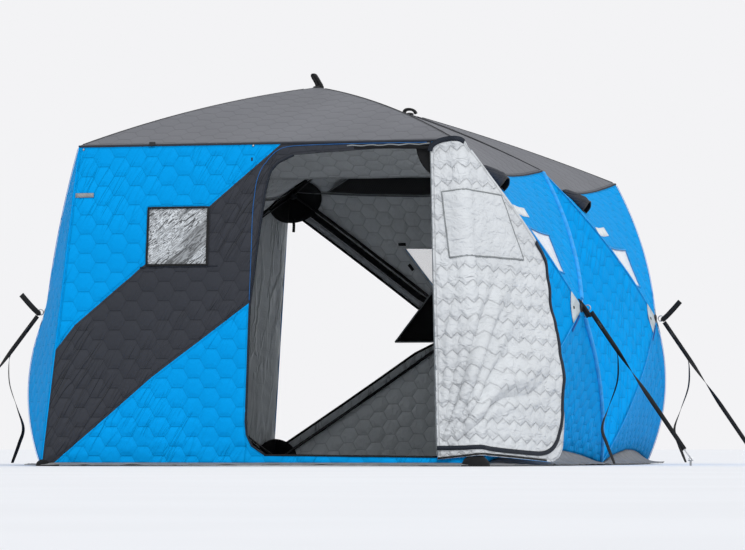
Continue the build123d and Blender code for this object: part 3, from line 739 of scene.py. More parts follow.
def moulded(name, base, roughness, metallic=0.0, grain=0.0003, IOR=1.5):
    """Moulded plastic or rubber, or plated metal: a fine grain and rubbed patches."""
    material, tree, body = blank(name, roughness, metallic=metallic, IOR=IOR)
    place = add(tree, "ShaderNodeTexCoord").outputs["Object"]
    grains = add(tree, "ShaderNodeTexNoise", {"Vector": place, "Scale": 420.0, "Detail": 2.0}).outputs[0]
    rubbed = add(tree, "ShaderNodeTexNoise", {"Vector": place, "Scale": 35.0, "Detail": 4.0}).outputs[0]
    tree.links.new(ramp(tree, rubbed, 0.3, 0.7, roughness * 0.85, min(1.0, roughness * 1.2)),
                   body.inputs["Roughness"])
    tone = ramp(tree, rubbed, 0.35, 0.75, 0.9, 1.25)
    painted(tree, body, base, tone, combine(tree, "MULTIPLY", grains, grain))
    return material


def vinyl(name, alpha, base, low, high, crinkle):
    """Clear PVC sheet, 0.5 mm, crinkled from folding.

    Fine white scuffs rise to the right in bundles, with smoother grey bands between them, over the
    dim room that shows through.
    """
    material, tree, body = blank(name, 0.22, alpha=alpha, specular_ior_level=0.3)
    place = add(tree, "ShaderNodeTexCoord").outputs["Object"]
    turned_place = add(tree, "ShaderNodeMapping", {"Vector": place, "Rotation": (0, 0.70, 0)}).outputs[0]
    slant = add(tree, "ShaderNodeVectorMath", {0: turned_place, 1: (12, 12, 70)}, operation="MULTIPLY")
    folds = add(tree, "ShaderNodeTexNoise", {"Vector": slant.outputs[0], "Scale": 1.0, "Detail": 5.0,
                                             "Roughness": 0.6, "Distortion": 2.0}).outputs[0]
    broad = add(tree, "ShaderNodeVectorMath", {0: turned_place, 1: (1.5, 1.5, 11)}, operation="MULTIPLY")
    bundles = add(tree, "ShaderNodeTexNoise", {"Vector": broad.outputs[0], "Scale": 1.0,
                                               "Detail": 1.0}).outputs[0]
    ridge = add(tree, "ShaderNodeMath", {0: folds, 1: 0.5}, operation="SUBTRACT")
    ridge = add(tree, "ShaderNodeMath", {0: ridge.outputs[0]}, operation="ABSOLUTE").outputs[0]
    # painted glints of the sky along the crinkles, over a painted dark tone for the room behind
    painted_glints = combine(tree, "MULTIPLY", ramp(tree, ridge, 0.07, 0.0), ramp(tree, bundles, 0.44, 0.52))
    tone = combine(tree, "ADD", ramp(tree, folds, 0.35, 0.65, low, (low + high) / 2),
                   combine(tree, "MULTIPLY", painted_glints, high - low))
    painted(tree, body, base, tone, combine(tree, "MULTIPLY", folds, crinkle))
    return material


def floor_finish(name):
    material, tree, body = blank(name, 0.9, specular_ior_level=0.1)
    place = add(tree, "ShaderNodeTexCoord").outputs["Object"]
    drift = add(tree, "ShaderNodeTexNoise", {"Vector": place, "Scale": 0.8, "Detail": 3.0}).outputs[0]
    painted(tree, body, colours().floor, ramp(tree, drift, 0.3, 0.7, 0.985, 1.01))
    return material


def finished(name):
    """The material of that name, made the first time it is asked for."""
    if name in bpy.data.materials:
        return bpy.data.materials[name]
    c = colours()
    makers = {
        "blue quilted polyester": lambda n: quilted(n, c.blue, sheen=0.0, shade=0.88, drawn=0.0045),
        "dark quilted polyester": lambda n: quilted(n, c.dark, sheen=0.05, shade=0.80, crease=0.0030,
                                                    drawn=0.0100),
        # painted reflection: the roof's paler base stands in for the sky that the roofs reflect
        "grey roof polyester": lambda n: quilted(n, c.roof, sheen=0.02, shade=0.70, sink=0.0006),
        "white quilted lining": lambda n: quilted(n, c.lining, shade=0.86, sink=0.0036, pucker=0.020,
                                                  flat=0.0,
                                                  slant=1.0),
        "white crumpled lining": lambda n: quilted(n, c.lining, shade=0.99, sink=0.0003, pucker=0.016,
                                                   crease=0.010),
        # painted light: the room lining's paler base
        "grey quilted lining": lambda n: quilted(n, c.inner, shade=0.80, sink=0.0026, pucker=0.010,
                                                 slant=0.8),
        "grey hanging lining": lambda n: quilted(n, c.inner, shade=0.94, sink=0.0006, flat=0.3, slant=0.2,
                                                 hung=0.014),
        "grey skirt cloth": lambda n: woven(n, c.skirt, 0.85, crease_depth=0.004),
        "navy zip tape": lambda n: woven(n, c.zip, 0.6, thread=0.008, depth=0.001),
        "blue piping": lambda n: woven(n, c.piping, 0.6),
        # painted highlight along the pole ridges, also used to edge the side windows
        "pale blue piping": lambda n: woven(n, c.ridge, 0.6, crease_depth=0.010),
        # Painted highlight: a lighter blue than the panels, for the light along the walls' pole ridges.
        "blue seam tape": lambda n: woven(n, linear(0x1AA2EC), 0.6),
        "grey seam tape": lambda n: woven(n, c.seam, 0.7),
        "grey crumpled tape": lambda n: woven(n, linear(0xC9CCD2), 0.7, crease_depth=0.010),
        "dark seam tape": lambda n: woven(n, linear(0x3A3B3F), 0.75),
        "black webbing": lambda n: woven(n, c.black, 0.65, thread=0.005, depth=0.0008),
        "black patch cloth": lambda n: woven(n, c.black, 0.9, sheen=0.05, crease_depth=0.003),
        "black mesh": lambda n: woven(n, c.black, 0.9, sheen=0.05, thread=0.007),
        "reflective cloth": lambda n: woven(n, c.reflective, 0.4, thread=0.01, depth=0.0002),
        "grey reflective cloth": lambda n: woven(n, linear(0xB9C3C8), 0.4, thread=0.01, depth=0.0002),
        "striped blue tape": lambda n: woven(n, linear(0x0F4E9C), 0.6, thread=0.008),
        "worn reflective cloth": lambda n: woven(n, linear(0x8E9092), 0.5, thread=0.01, depth=0.0002),
        "fibreglass pole": lambda n: moulded(n, c.black, 0.35),
        "black nylon": lambda n: moulded(n, c.black, 0.5),
        "black rubber": lambda n: moulded(n, c.black, 0.75),
        "zinc plated steel": lambda n: moulded(n, linear(0xA9ABAE), 0.32, metallic=1.0),
        # painted glints and painted room shade on the nearly opaque front pane
        "crinkled clear vinyl": lambda n: vinyl(n, 0.94, linear(0xC4C8CC), 0.16, 1.22, 0.010),
        "clear back vinyl": lambda n: vinyl(n, 0.22, linear(0xF4F7FC), 0.94, 1.03, 0.001),
        # Painted reflection: the side panes are near-white and nearly opaque, standing in for the bright sky
        # that they reflect.
        "pale clear vinyl": lambda n: vinyl(n, 0.90, linear(0xF4F7FC), 0.94, 1.03, 0.002),
        "snow white floor": floor_finish,
    }
    return makers[name](name)


# ---- walls and roofs ----
SIDE_WINDOW = [(0.05, 0.50), (0.05, 0.23), (0.45, 0.235), (0.60, 0.505)]   # across, share from the hub
BACK_WINDOW = [(0.21, 0.58), (0.19, 0.29), (0.81, 0.29), (0.79, 0.58)]
NEAR_HUB = 0.015


def panel_sheet(poles, first, hole=None, puff=0.68):
    """One stretched panel between two poles, from the hub out to its edge."""
    step = cloth().step
    columns = round(poles.width(first, 1.0) / step)
    rows = round(poles.reach(first) / step)
    bm = unit_sheet(columns, rows)
    if hole:
        outline = [(across, (share - NEAR_HUB) / (1 - NEAR_HUB)) for across, share in hole]
        cut_hole(bm, outline, 0.05)

    def place(x, y):
        share = NEAR_HUB + (1 - NEAR_HUB) * y
        gap = min(x, 1 - x) * poles.width(first, share)
        gap = min(gap, (1 - share) * poles.reach(first))
        if hole:
            gap = min(gap, window_gap(poles, first, share, x, hole))
        return poles.place(first, share, x), poles.flat(first, share, x), gap

    middle = (poles.corners[first] + poles.corners[(first + 1) % 4]) / 2 - poles.hub
    return drape(bm, place, poles.normal(first, 0.5) if middle.length else poles.out, puff)


def window_marks(name):
    return BACK_WINDOW if name == "back" else SIDE_WINDOW


def window_gap(poles, first, share, across, hole):
    cuts = [Vector(poles.flat(first, mark_share, mark_across)) for mark_across, mark_share in hole]
    spot = Vector(poles.flat(first, share, across))
    return gap_to([(a[:], b[:]) for a, b in sides(cuts)], spot.x, spot.y)


def cut_size(outline):
    """Width, length and area of a flat cut, in metres, from its outline before the cloth is shaped."""
    area = abs(sum(a[0] * b[1] - b[0] * a[1] for a, b in sides([tuple(spot) for spot in outline]))) / 2
    across, along = [spot[0] for spot in outline], [spot[1] for spot in outline]
    return max(across) - min(across), max(along) - min(along), area


def panel_cut(poles, first):
    """The flat outline of a panel, from the hub out to its edge."""
    low = [poles.flat(first, NEAR_HUB, 0.0), poles.flat(first, 1.0, 0.0)]
    return low + [poles.flat(first, 1.0, 1.0), poles.flat(first, NEAR_HUB, 1.0)]


def poles_cut(poles, panels, hole=None):
    """Size across and along through the hub, and the area of the sewn panels less their window."""
    area = sum(cut_size(panel_cut(poles, first))[2] for first in panels)
    if hole:
        area -= cut_size([poles.flat(0, share, across) for across, share in hole])[2]
    return poles.reach(1) + poles.reach(3), poles.reach(0) + poles.reach(2), area


def make_wall_fabric():
    """The hubbed walls' quilted fabric."""
    for name, poles in wall_poles().items():
        panels = [panel_sheet(poles, 0, window_marks(name)), panel_sheet(poles, 1), panel_sheet(poles, 2)]
        if name != "back":
            panels.append(panel_sheet(poles, 3))
        lining = "grey hanging lining" if name.startswith("left") else "grey quilted lining"
        piece = as_object(f"{name}_wall_fabric", joined(panels), ["blue quilted polyester", lining])
        thicken(piece, cloth().wall_loft, quilted=True, second=True)
        cut = poles_cut(poles, range(len(panels)), window_marks(name))
        fit(piece, "blue_fabric", f"{name}_wall")


def make_roof_fabric():
    """The two roofs' quilted fabric."""
    for name, end in (("front", -1), ("back", 1)):
        poles = roof_poles(end)
        panels = [panel_sheet(poles, first, puff=0.30) for first in range(4)]
        piece = as_object(f"{name}_roof_fabric", joined(panels),
                          ["grey roof polyester", "grey quilted lining"])
        thicken(piece, cloth().wall_loft, quilted=True, second=True)
        fit(piece, "dark_fabric", f"{name}_roof")
        poles_cut(poles, range(4))


# ---- front wall ----
DOORWAY = [(0.040, 0.064), (1.003, 0.052), (0.930, 1.738), (0.160, 1.693), (0.078, 1.659), (0.034, 1.613),
           (0.008, 1.509), (-0.020, 1.290), (-0.064, 0.875), (-0.068, 0.240), (-0.060, 0.170),
           (-0.030, 0.110)]
FRONT_WINDOW = [(-0.650, 1.100), (-0.315, 1.100), (-0.315, 1.410), (-0.650, 1.410)]
BAND_TOP = [(-1.220, 0.560), (-1.131, 0.674), (-1.054, 0.773), (-0.648, 1.116), (-0.321, 1.406),
            (0.115, 1.779)]
BAND_LOW = [(-1.240, -0.060), (-0.856, 0.267), (-0.615, 0.477), (-0.060, 0.891)]
HEADER_START = 0.040
HINGE = [(1.003, 0.066), (0.930, 1.720)]


def height_on(line, x):
    """Height of a line of points at a place across, run on straight past its ends."""
    for (ax, ay), (bx, by) in zip(line, line[1:]):
        if x <= bx:
            break
    return ay + (by - ay) * (x - ax) / (bx - ax)


def hinge_across(up):
    (low_x, low_y), (high_x, high_y) = HINGE
    return low_x + (high_x - low_x) * min(1.0, (up - low_y) / (high_y - low_y))


def front_zone(x, y):
    if y > height_on(BAND_TOP, x):
        return "upper_panel"
    if x > hinge_across(y):
        return "margin"
    if x > HEADER_START and y > 1.0:
        return "header"
    if x > -0.066 and y < 0.5:
        return "sill"
    return "lower_panel" if y < height_on(BAND_LOW, x) else "band"


LEAST_FILL = 0.305    # the least share of its rectangle that a cut's area is taken to fill, with a margin
FRONT_PIECES = {
    "upper_panel": ("front_wall_upper_panel", "blue_fabric", "blue quilted polyester"),
    "band": ("front_wall_diagonal_band", "dark_fabric", "dark quilted polyester"),
    "lower_panel": ("front_wall_lower_panel", "blue_fabric", "blue quilted polyester"),
    "sill": ("front_door_sill", "blue_fabric", "blue quilted polyester"),
    "header": ("front_door_header", "dark_fabric", "dark quilted polyester"),
    "margin": ("front_door_margin", "blue_fabric", "blue quilted polyester"),
}


def drawn_creases(x, y, angle, pitch, run, seed):
    """Height, from 0 to 1, of long narrow creases that lie at an angle across a stretched panel."""
    along = x * math.cos(angle) + y * math.sin(angle)
    aside = y * math.cos(angle) - x * math.sin(angle)
    bend = 0.25 * rough(x, y, 3, 3, seed)
    ridge = noise.noise(Vector((aside / pitch + bend, along / run, seed)))
    return max(0.0, 1 - abs(ridge) * 3.2)


def front_surface(x, y, lift=0.0):
    """The front wall's stretched fabric: drawn creases beside the window and the band, a slack foot."""
    inward = min(1.0, (front_edge(y) - abs(x)) / 0.15, (front_top() - y) / 0.1)
    slack = max(0.0, 1 - y / 0.32)
    over = y - height_on(BAND_TOP, x)
    drawn = math.exp(-(over / 0.13) ** 2) if over > 0 else math.exp(-(over / 0.30) ** 2)
    drawn *= 1.0 if -0.75 < x < -0.05 else 0.35
    upper = max(0.0, 1 - abs(y - 1.60) / 0.22) * max(0.0, 1 - abs(x + 0.45) / 0.5)
    height = 0.004 * rough(x, y, 5, 5, 2.0)
    height += 0.0055 * drawn * drawn_creases(x, y, 1.08, 0.040, 0.30, 5.0)
    height += 0.0030 * upper * drawn_creases(x, y, 0.75, 0.050, 0.25, 8.0)
    height += 0.0035 * max(0.0, rough(x, y, 2, 2, 4.0)) * drawn_creases(x, y, 0.9, 0.06, 0.4, 9.0)
    height += 0.008 * slack * rough(x, y, 5, 22, 7.0)
    if y > 1.6 and x > 0:
        height += 0.008 * math.sin(7 * x + 14 * y) * min(1.0, (front_top() - y) / 0.05)
        height += 0.006 * drawn_creases(x, y, 0.15, 0.05, 0.35, 3.0) * min(1.0, (front_top() - y) / 0.05)
    return on_front(x, y, height * max(0.0, inward) + lift)


def front_wall_sheet():
    bm = unit_sheet(round(2.44 / 0.015), round(front_top() / 0.015))
    top = front_top()
    for vert in bm.verts:
        up = 0.010 + (top - 0.010) * vert.co.y
        vert.co = Vector(((2 * vert.co.x - 1) * front_edge(up), up, 0))
    cut_hole(bm, DOORWAY, 0.04)
    cut_hole(bm, FRONT_WINDOW, 0.04)
    for line in (BAND_TOP, BAND_LOW):
        for a, b in zip(line, line[1:]):
            cut_line(bm, a, b, 0.0)
    cut_line(bm, (HEADER_START, 1.65), (HEADER_START, top), 0.03)
    cut_line(bm, (HINGE[1][0], 1.70), (HINGE[1][0], top), 0.03)
    return bm


def make_front_wall():
    """The front wall's panels round the doorway."""
    lines = sides(DOORWAY) + sides(FRONT_WINDOW) + list(zip(BAND_TOP, BAND_TOP[1:]))
    lines += list(zip(BAND_LOW, BAND_LOW[1:]))

    def place(x, y):
        gap = min(gap_to(lines, x, y), front_edge(y) - abs(x), front_top() - y)
        return front_surface(x, y), (x, y), max(0.0, gap)

    for zone, (node, slot, finish) in FRONT_PIECES.items():
        bm = front_wall_sheet()
        doomed = [face for face in bm.faces if front_zone(*face.calc_center_median()[:2]) != zone]
        bmesh.ops.delete(bm, geom=doomed, context="FACES")
        width, length, _ = cut_size([vert.co.xy for vert in bm.verts])
        area = sum(face.calc_area() for face in bm.faces)
        # the sill is thin, so its cut size is worked out less tall than it is; the size is not used
        # further; the sill is thinner than a declaration allows, so it is declared less tall than it is
        cut = (width, min(length, area / (LEAST_FILL * width)), area)
        drape(bm, place, on_front(0, 0, 1) - on_front(0, 0))
        piece = thicken(as_object(f"{node}_fabric", bm, [finish, "grey quilted lining"]), cloth().wall_loft,
                        quilted=True, second=True)
        fit(piece, slot, node)


def make_front_window():
    """The front window, its edge and the seam of its cover."""
    pane = outline_sheet(FRONT_WINDOW, 0.006)

    def crinkled(x, y):
        fold = drawn_creases(x, y, 0.72, 0.030, 0.25, 1.0) + 0.5 * rough(x, y, 40, 40, 3.0)
        return front_surface(x, y, 0.0025 * fold), (x, y), 1.0

    drape(pane, crinkled, on_front(0, 0, 1) - on_front(0, 0))
    pane = thicken(as_object("front_window_vinyl", pane, ["crinkled clear vinyl"]), 0.001)
    fit(pane, "clear_vinyl", "front_window")
    cut_size(FRONT_WINDOW)
    grown = [(x + math.copysign(0.003, x + 0.48), y + math.copysign(0.003, y - 1.25)) for x,
             y in FRONT_WINDOW]
    rim = [trace(front_surface, grown, 16, 0.007, closed=True)]
    fit(tape_piece("front_window_edge_tape", rim, 0.011, 0.004, "black webbing"), "black_webbing",
        "front_window_binding")
    seam = [trace(front_surface, [(-0.690, 1.084), (-0.250, 1.090)], 16, 0.007)]
    fit(tape_piece("front_window_cover_seam", seam, 0.005, 0.002, "navy zip tape"), "blue_fabric")


def make_side_windows():
    """The hubbed walls' windows, each cut from its wall's own flat outline."""
    edges = []
    for name, poles in wall_poles().items():
        outline = window_marks(name)

        def place(x, y, poles=poles):
            ripple = 0.0015 * rough(x, y, 9, 6, 1.0)
            return poles.place(0, y, x, ripple), poles.flat(0, y, x), 1.0

        pane = drape(outline_sheet(outline, 0.02), place, poles.normal(0, 0.3))
        finish = "clear back vinyl" if name == "back" else "pale clear vinyl"
        piece = thicken(as_object(f"{name}_window_vinyl", pane, [finish]), 0.001)
        cut = cut_size([poles.flat(0, share, across) for across, share in outline])
        fit(piece, "clear_vinyl", "side_windows")
        edges.append(trace(poles.surface(0), outline, 10, 0.006, closed=True))
    fit(tape_piece("side_window_edge_tape", edges[:-1], 0.007, 0.003, "pale blue piping"), "blue_fabric")
    fit(tape_piece("back_window_edge_tape", edges[-1:], 0.007, 0.003, "grey seam tape"), "blue_fabric")


# ---- the front door ----
FLAP_OUT = 0.013
HINGE_OUT = 0.018
WRAP_OUT = 0.007
TUCK_OUT = 0.019
CORNER_WRAP = 0.032
WRAP_ANGLE = math.radians(68)
FOLD_HALF = 0.085
TUCK_LEFT = (-0.050, 1.165)
TUCK_IN = 0.100
DOOR_CORNER = 0.170
GATHER = 0.6
LEAN = [(0.00, 0.030), (0.15, 0.034), (0.30, 0.030), (0.51, 0.004), (0.68, 0.018), (0.80, 0.036),
        (0.94, 0.056), (1.06, 0.062), (1.17, 0.056), (1.30, 0.026), (1.45, 0.0)]


def turned(point, line, angle):
    return line[0] + Matrix.Rotation(angle, 3, line[1]) @ (point - line[0])


def door_line(low, high, out):
    start = on_front(*low, out)
    return start, (on_front(*high, out) - start).normalized()


def over_hinge(x, y):
    """The place on the closed door that lies at (x, y) when the door is folded back over its hinge."""
    run = (Vector(HINGE[1]) - Vector(HINGE[0])).normalized()
    arm = Vector((x, y)) - Vector(HINGE[0])
    return Vector(HINGE[0]) + run * (2 * arm.dot(run)) - arm


def wrap_ends():
    return [over_hinge(front_edge(up) + CORNER_WRAP, up) for up in (HINGE[0][1], HINGE[1][1])]


def tuck_right():
    return (wrap_ends()[1].x - TUCK_IN, 1.700)


def over_tuck(x, y):
    """Where a point of the top corner lies on the leaf once it is tucked behind it."""
    low = Vector(TUCK_LEFT)
    run = (Vector(tuck_right()) - low).normalized()
    arm = Vector((x, y)) - low
    folded = low + run * (2 * arm.dot(run)) - arm
    return folded.x, folded.y


def wrap_share(x, y):
    """0 on the strip beside the hinge and 1 on the leaf, running smoothly through the fold."""
    low, high = wrap_ends()
    run = (high - low).normalized()
    away = (y - low.y) * run.x - (x - low.x) * run.y
    share = max(0.0, min(1.0, (away + FOLD_HALF) / (2 * FOLD_HALF)))
    return share * share * (3 - 2 * share)


def door_place(x, y, out, tucked=False):
    """A point of the door where it rests: wrapped round the corner and folded back over its hinge."""
    point = on_front(x, y, out)
    if tucked:
        point = turned(point, door_line(TUCK_LEFT, tuck_right(), TUCK_OUT), math.pi)
    low, high = wrap_ends()
    share = 1.0 if tucked else wrap_share(x, y)
    point = turned(point, door_line(low, high, WRAP_OUT), WRAP_ANGLE * share)
    return turned(point, door_line(*HINGE, HINGE_OUT), math.pi)


def door_folds(x, y):
    """Creases that fan up from the foot of the hinge, a wavy free edge, and soft swells between."""
    arm = Vector((HINGE[0][0] - x, y - HINGE[0][1]))
    reach = max(arm.length, 0.02)
    turn = math.atan2(arm.y, arm.x)
    bend = turn + 0.16 * rough(x, y, 2.2, 2.2, 0)
    fan = 0.0
    for centre, width, size in ((1.03, 0.060, 1.1), (0.62, 0.075, 0.9), (1.22, 0.030, 0.40),
                                (0.82, 0.030, 0.35), (0.40, 0.040, 0.30), (1.36, 0.030, 0.35),
                                (1.13, 0.022, -0.50), (0.93, 0.022, -0.40), (0.75, 0.024, -0.45),
                                (0.49, 0.024, -0.35)):
        fan += size * math.exp(-((bend - centre) / width) ** 2)
    fan *= min(1.0, reach / 0.30) * math.exp(-(max(0.0, reach - 0.60) / 0.42) ** 2)
    edge = math.exp(-max(0.0, x + 0.09) / 0.10)
    wave = math.sin(y * 26 + 3 * noise.noise(Vector((0, y * 3, 4))))
    swell = rough(x, y, 4, 4, 9)
    fine = rough(x, y, 11, 17, 3)
    return 0.042 * fan + 0.005 * edge * wave + 0.006 * swell + 0.003 * fine


def door_lean(x, y):
    """How far the free edge of the open door leans back towards the wall behind it."""
    for (low, start), (high, end) in zip(LEAN, LEAN[1:]):
        if y <= high:
            break
    share = max(0.0, min(1.0, (y - low) / (high - low)))
    share = share * share * (3 - 2 * share)
    return (start + (end - start) * share) * math.exp(-max(0.0, x + 0.09) / 0.20)


def door_rim(y):
    """How far the hem and the top edge stand off the frame that they close against."""
    return 0.006 * max(0.0, min(1.0, 2 - y / 0.07), min(1.0, (y - 1.64) / 0.06))


def door_surface(x, y, lift=0.0):
    """The door's lining side where it rests; lift raises a point off the lining."""
    folds = max(-0.012, door_folds(x, y)) * max(0.0, min(1.0, (y - 0.05) / 0.09))
    return door_place(x, y, FLAP_OUT + door_lean(x, y) + door_rim(y) - folds - lift)


def corner_arc(centre, radius, start, end, count=6):
    return [(centre[0] + radius * math.cos(math.radians(start + (end - start) * i / count)), centre[1]
             + radius * math.sin(math.radians(start + (end - start) * i / count))) for i in range(count + 1)]


def leaf_outline():
    low_corner = corner_arc((-0.090 + DOOR_CORNER, 0.040 + DOOR_CORNER), DOOR_CORNER, 180, 270, 8)
    right = tuck_right()
    return low_corner + [(0.999, 0.034), (0.928, 1.716), (0.880, 1.746), (0.820, 1.757), (0.770, 1.752),
                         (0.725, 1.735), (right[0] + 0.010, 1.703), (-0.050, 1.154), (-0.090, 0.700)]


def door_blend():
    """Start and end of the bend between the strip and the leaf, square to the fold."""
    low, high = wrap_ends()
    middle = (low + high) / 2
    strip = door_place(middle.x + FOLD_HALF, middle.y, FLAP_OUT)
    leaf = door_place(middle.x - FOLD_HALF, middle.y, FLAP_OUT)
    fold = (door_place(high.x, high.y, WRAP_OUT) - door_place(low.x, low.y, WRAP_OUT)).normalized()
    span = leaf - strip
    return strip, leaf - fold * span.dot(fold)


def on_door(piece, slot, *nodes):
    start, end = door_blend()
    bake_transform(piece)
    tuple(start)
    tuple(end)
    if nodes:
        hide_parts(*nodes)
    return piece


def make_door_flap():
    """The door's fabric, wrapped round the corner."""
    outline = leaf_outline()
    edges = sides(outline)

    fold = wrap_ends()[0].x

    def place(x, y):
        return door_surface(x, y), (y, x + GATHER * max(0.0, x - fold)), gap_to(edges, x, y)

    bm = drape(outline_sheet(outline, 0.010), place, Vector((1, 1, 0)), puff=0.15)
    piece = as_object("front_door_fabric", bm, ["blue quilted polyester", "white quilted lining"])
    facing_out(piece, door_surface(0.5, 0.6) - door_surface(0.5, 0.6, 0.01))
    thicken(piece, cloth().door_loft, quilted=True, second=True)
    on_door(piece, "silver_lining", "front_door_strip", "front_door_leaf")
    cut_size(outline)


def facing_out(piece, direction):
    """Turns a sheet over when its outer face looks away from a direction."""
    total = sum((polygon.normal * polygon.area for polygon in piece.data.polygons), Vector())
    if total.dot(direction) < 0:
        piece.data.flip_normals()


def make_door_top_corner():
    """The door's top corner, tucked behind the leaf, and the lining rolled over its fold."""
    right = tuck_right()
    outline = [(right[0] - 0.010, 1.704), (0.400, 1.698), (0.165, 1.683), (0.086, 1.650), (0.043, 1.606),
               (0.017, 1.508), (0.006, 1.440), (-0.012, 1.290), (-0.030, 1.175)]
    edges = sides(outline)

    def place(x, y):
        swell = 0.002 * rough(x, y, 5, 5, 1)
        lean = door_lean(*over_tuck(x, y))
        return door_place(x, y, FLAP_OUT + swell - lean, tucked=True), (y, x), gap_to(edges, x, y)

    bm = drape(outline_sheet(outline, 0.020), place, Vector((1, 0, 0)))
    piece = as_object("front_door_top_corner_fabric", bm, ["blue quilted polyester", "white quilted lining"])
    facing_out(piece, door_place(0.2, 1.5, 0.02, True) - door_place(0.2, 1.5, 0.01, True))
    thicken(piece, 0.007, quilted=True, second=True)
    fit(piece, "silver_lining", "front_door_top_corner", body="door_top_corner")
    rolled = []
    for step in range(25):
        x = TUCK_LEFT[0] + (right[0] - TUCK_LEFT[0]) * step / 24
        y = TUCK_LEFT[1] + (right[1] - TUCK_LEFT[1]) * step / 24
        rolled.append(door_place(x, y - 0.006, FLAP_OUT + door_lean(x, y) + 0.002))
    roll = curve_piece("front_door_corner_roll", [rolled], 0.009, "white crumpled lining")
    fit(roll, "silver_lining", body="door_leaf")
    cut_size(outline)


COVER = [(0.862, 1.108), (0.883, 1.470), (0.412, 1.475), (0.232, 1.137)]


def make_door_window_cover():
    """The loose cover over the door's own window, sewn on along its top and bound all round."""
    edges = sides(COVER)

    def place(x, y):
        gap = gap_to(edges, x, y)
        slack = 0.003 * rough(x, y, 9, 9, 6)
        return door_surface(x, y, 0.010 + (0.005 + slack) * min(1.0, gap / 0.04)), (y, x), gap

    bm = drape(outline_sheet(COVER, 0.012), place, Vector((1, 0, 0)))
    piece = as_object("front_door_window_cover_fabric", bm, ["white crumpled lining"])
    facing_out(piece, door_surface(0.4, 1.2, 0.02) - door_surface(0.4, 1.2, 0.01))
    thicken(piece, 0.005, quilted=True)
    on_door(piece, "silver_lining", "front_door_window_cover")
    cut_size(COVER)
    rim = [trace(door_surface, COVER, 20, 0.011, closed=True)]
    on_door(tape_piece("front_door_window_cover_edge", rim, 0.007, 0.003, "grey seam tape"), "silver_lining")


def make_door_trim():
    """Zip tapes near the door's edges on its lining, and the binding of its hem."""
    zip_line = [(0.998, 0.094), (0.820, 0.082), (0.572, 0.074), (0.289, 0.075), (0.160, 0.082),
                (0.070, 0.108), (-0.005, 0.165), (-0.048, 0.245), (-0.070, 0.350), (-0.078, 0.510),
                (-0.078, 0.700), (-0.068, 0.940), (-0.052, 1.100), (-0.034, 1.158), (0.036, 1.212),
                (0.088, 1.250)]
    tape = [curved_trace(door_surface, zip_line, 8, 0.011, 0.021)]
    on_door(tape_piece("front_door_zip", tape, 0.024, 0.004, "navy zip tape"), "black_webbing")
    hem = [trace(door_surface, [(0.998, 0.040), (0.560, 0.046), (0.120, 0.046)], 18, 0.007)]
    on_door(tape_piece("front_door_hem_binding", hem, 0.010, 0.004, "black webbing"), "black_webbing")
    top_line = [(0.934, 1.700), (0.925, 1.724), (0.890, 1.746), (0.830, 1.755), (0.770, 1.748),
                (0.735, 1.732)]
    tape = [curved_trace(door_surface, top_line, 5, 0.006, 0.018)]
    on_door(tape_piece("front_door_top_zip", tape, 0.028, 0.006, "navy zip tape"), "black_webbing")
    hinge = [on_front(hinge_across(0.06 + 1.66 * t / 20), 0.06 + 1.66 * t / 20, HINGE_OUT - 0.004)
             for t in range(21)]
    fit(curve_piece("front_door_hinge_piping", [hinge], 0.006, "grey seam tape"), "silver_lining")


# ---- doorway trim on the front wall ----
HEADER_HEM = [(0.46 + 0.46 * t / 16, 1.738 + 0.003 * math.sin(t * 1.7) + 0.004 * t / 16) for t in range(17)]
# outline, points to a side, lift, width, thickness, finish and slot
FRONT_TAPES = {
    "doorway_zip_tape": (DOORWAY[3:] + DOORWAY[:1], 5, -0.002, 0.010, 0.011, "navy zip tape",
                         "black_webbing"),
    "doorway_sill_zip": ([(0.040, 0.060), (1.000, 0.050)], 24, -0.001, 0.010, 0.011, "black webbing",
                         "black_webbing"),
    "front_reflective_strip": ([(-1.074, 1.488), (-0.970, 1.488)], 4, 0.008, 0.024, 0.002,
                               "worn reflective cloth", "reflective_patch"),
    "front_wall_bartack": ([(-0.072, 1.682), (-0.072, 1.664)], 3, 0.008, 0.008, 0.002, "navy zip tape",
                           "black_webbing"),
    "doorway_header_hem": (HEADER_HEM, 2, 0.006, 0.006, 0.003, "grey seam tape", "dark_fabric"),
    # Painted shade: a black strip along the header's hanging edge, darker than the header's fabric, for the
    # shade under that edge.
    "doorway_header_fold_shade": ([(0.50, 1.730), (0.72, 1.728), (0.93, 1.722)], 8, 0.004, 0.018, 0.004,
                            "black patch cloth", "dark_fabric"),
}


def make_doorway_trim():
    """The doorway's piping, zips and hems, and the front wall's small fittings."""
    piping = [(-0.066, 0.900), (-0.062, 1.200), (-0.060, 1.378), (-0.052, 1.480), (-0.042, 1.554),
              (-0.020, 1.615), (0.011, 1.663), (0.060, 1.712), (0.121, 1.738), (0.250, 1.746),
              (0.531, 1.750), (0.905, 1.750)]
    points = curved_trace(front_surface, piping, 5, 0.006, 0.016)[0]
    fit(curve_piece("doorway_blue_piping", [points], 0.0020, "blue piping"), "blue_fabric")
    for name, (outline, count, lift, width, thickness, finish, slot) in FRONT_TAPES.items():
        tape = [trace(front_surface, outline, count, lift)]
        fit(tape_piece(name, tape, width, thickness, finish), slot)
    spots = [(-1.036, 1.742), (-0.067, 1.748)]
    snaps = bmesh.new()
    for x, y in spots:
        made = bmesh.ops.create_uvsphere(snaps, u_segments=12, v_segments=6, radius=0.007)["verts"]
        bmesh.ops.translate(snaps, verts=made, vec=front_surface(x, y, 0.006))
    fit(as_object("front_wall_snaps", snaps, ["zinc plated steel"]), "plated_steel")
    clip = bevelled_box((0.034, 0.012, 0.022), 0.003)
    bmesh.ops.translate(clip, verts=clip.verts, vec=on_front(-0.641, front_top() + 0.006, 0.012))
    fit(as_object("front_eave_clip", clip, ["black nylon"]), "black_plastic")


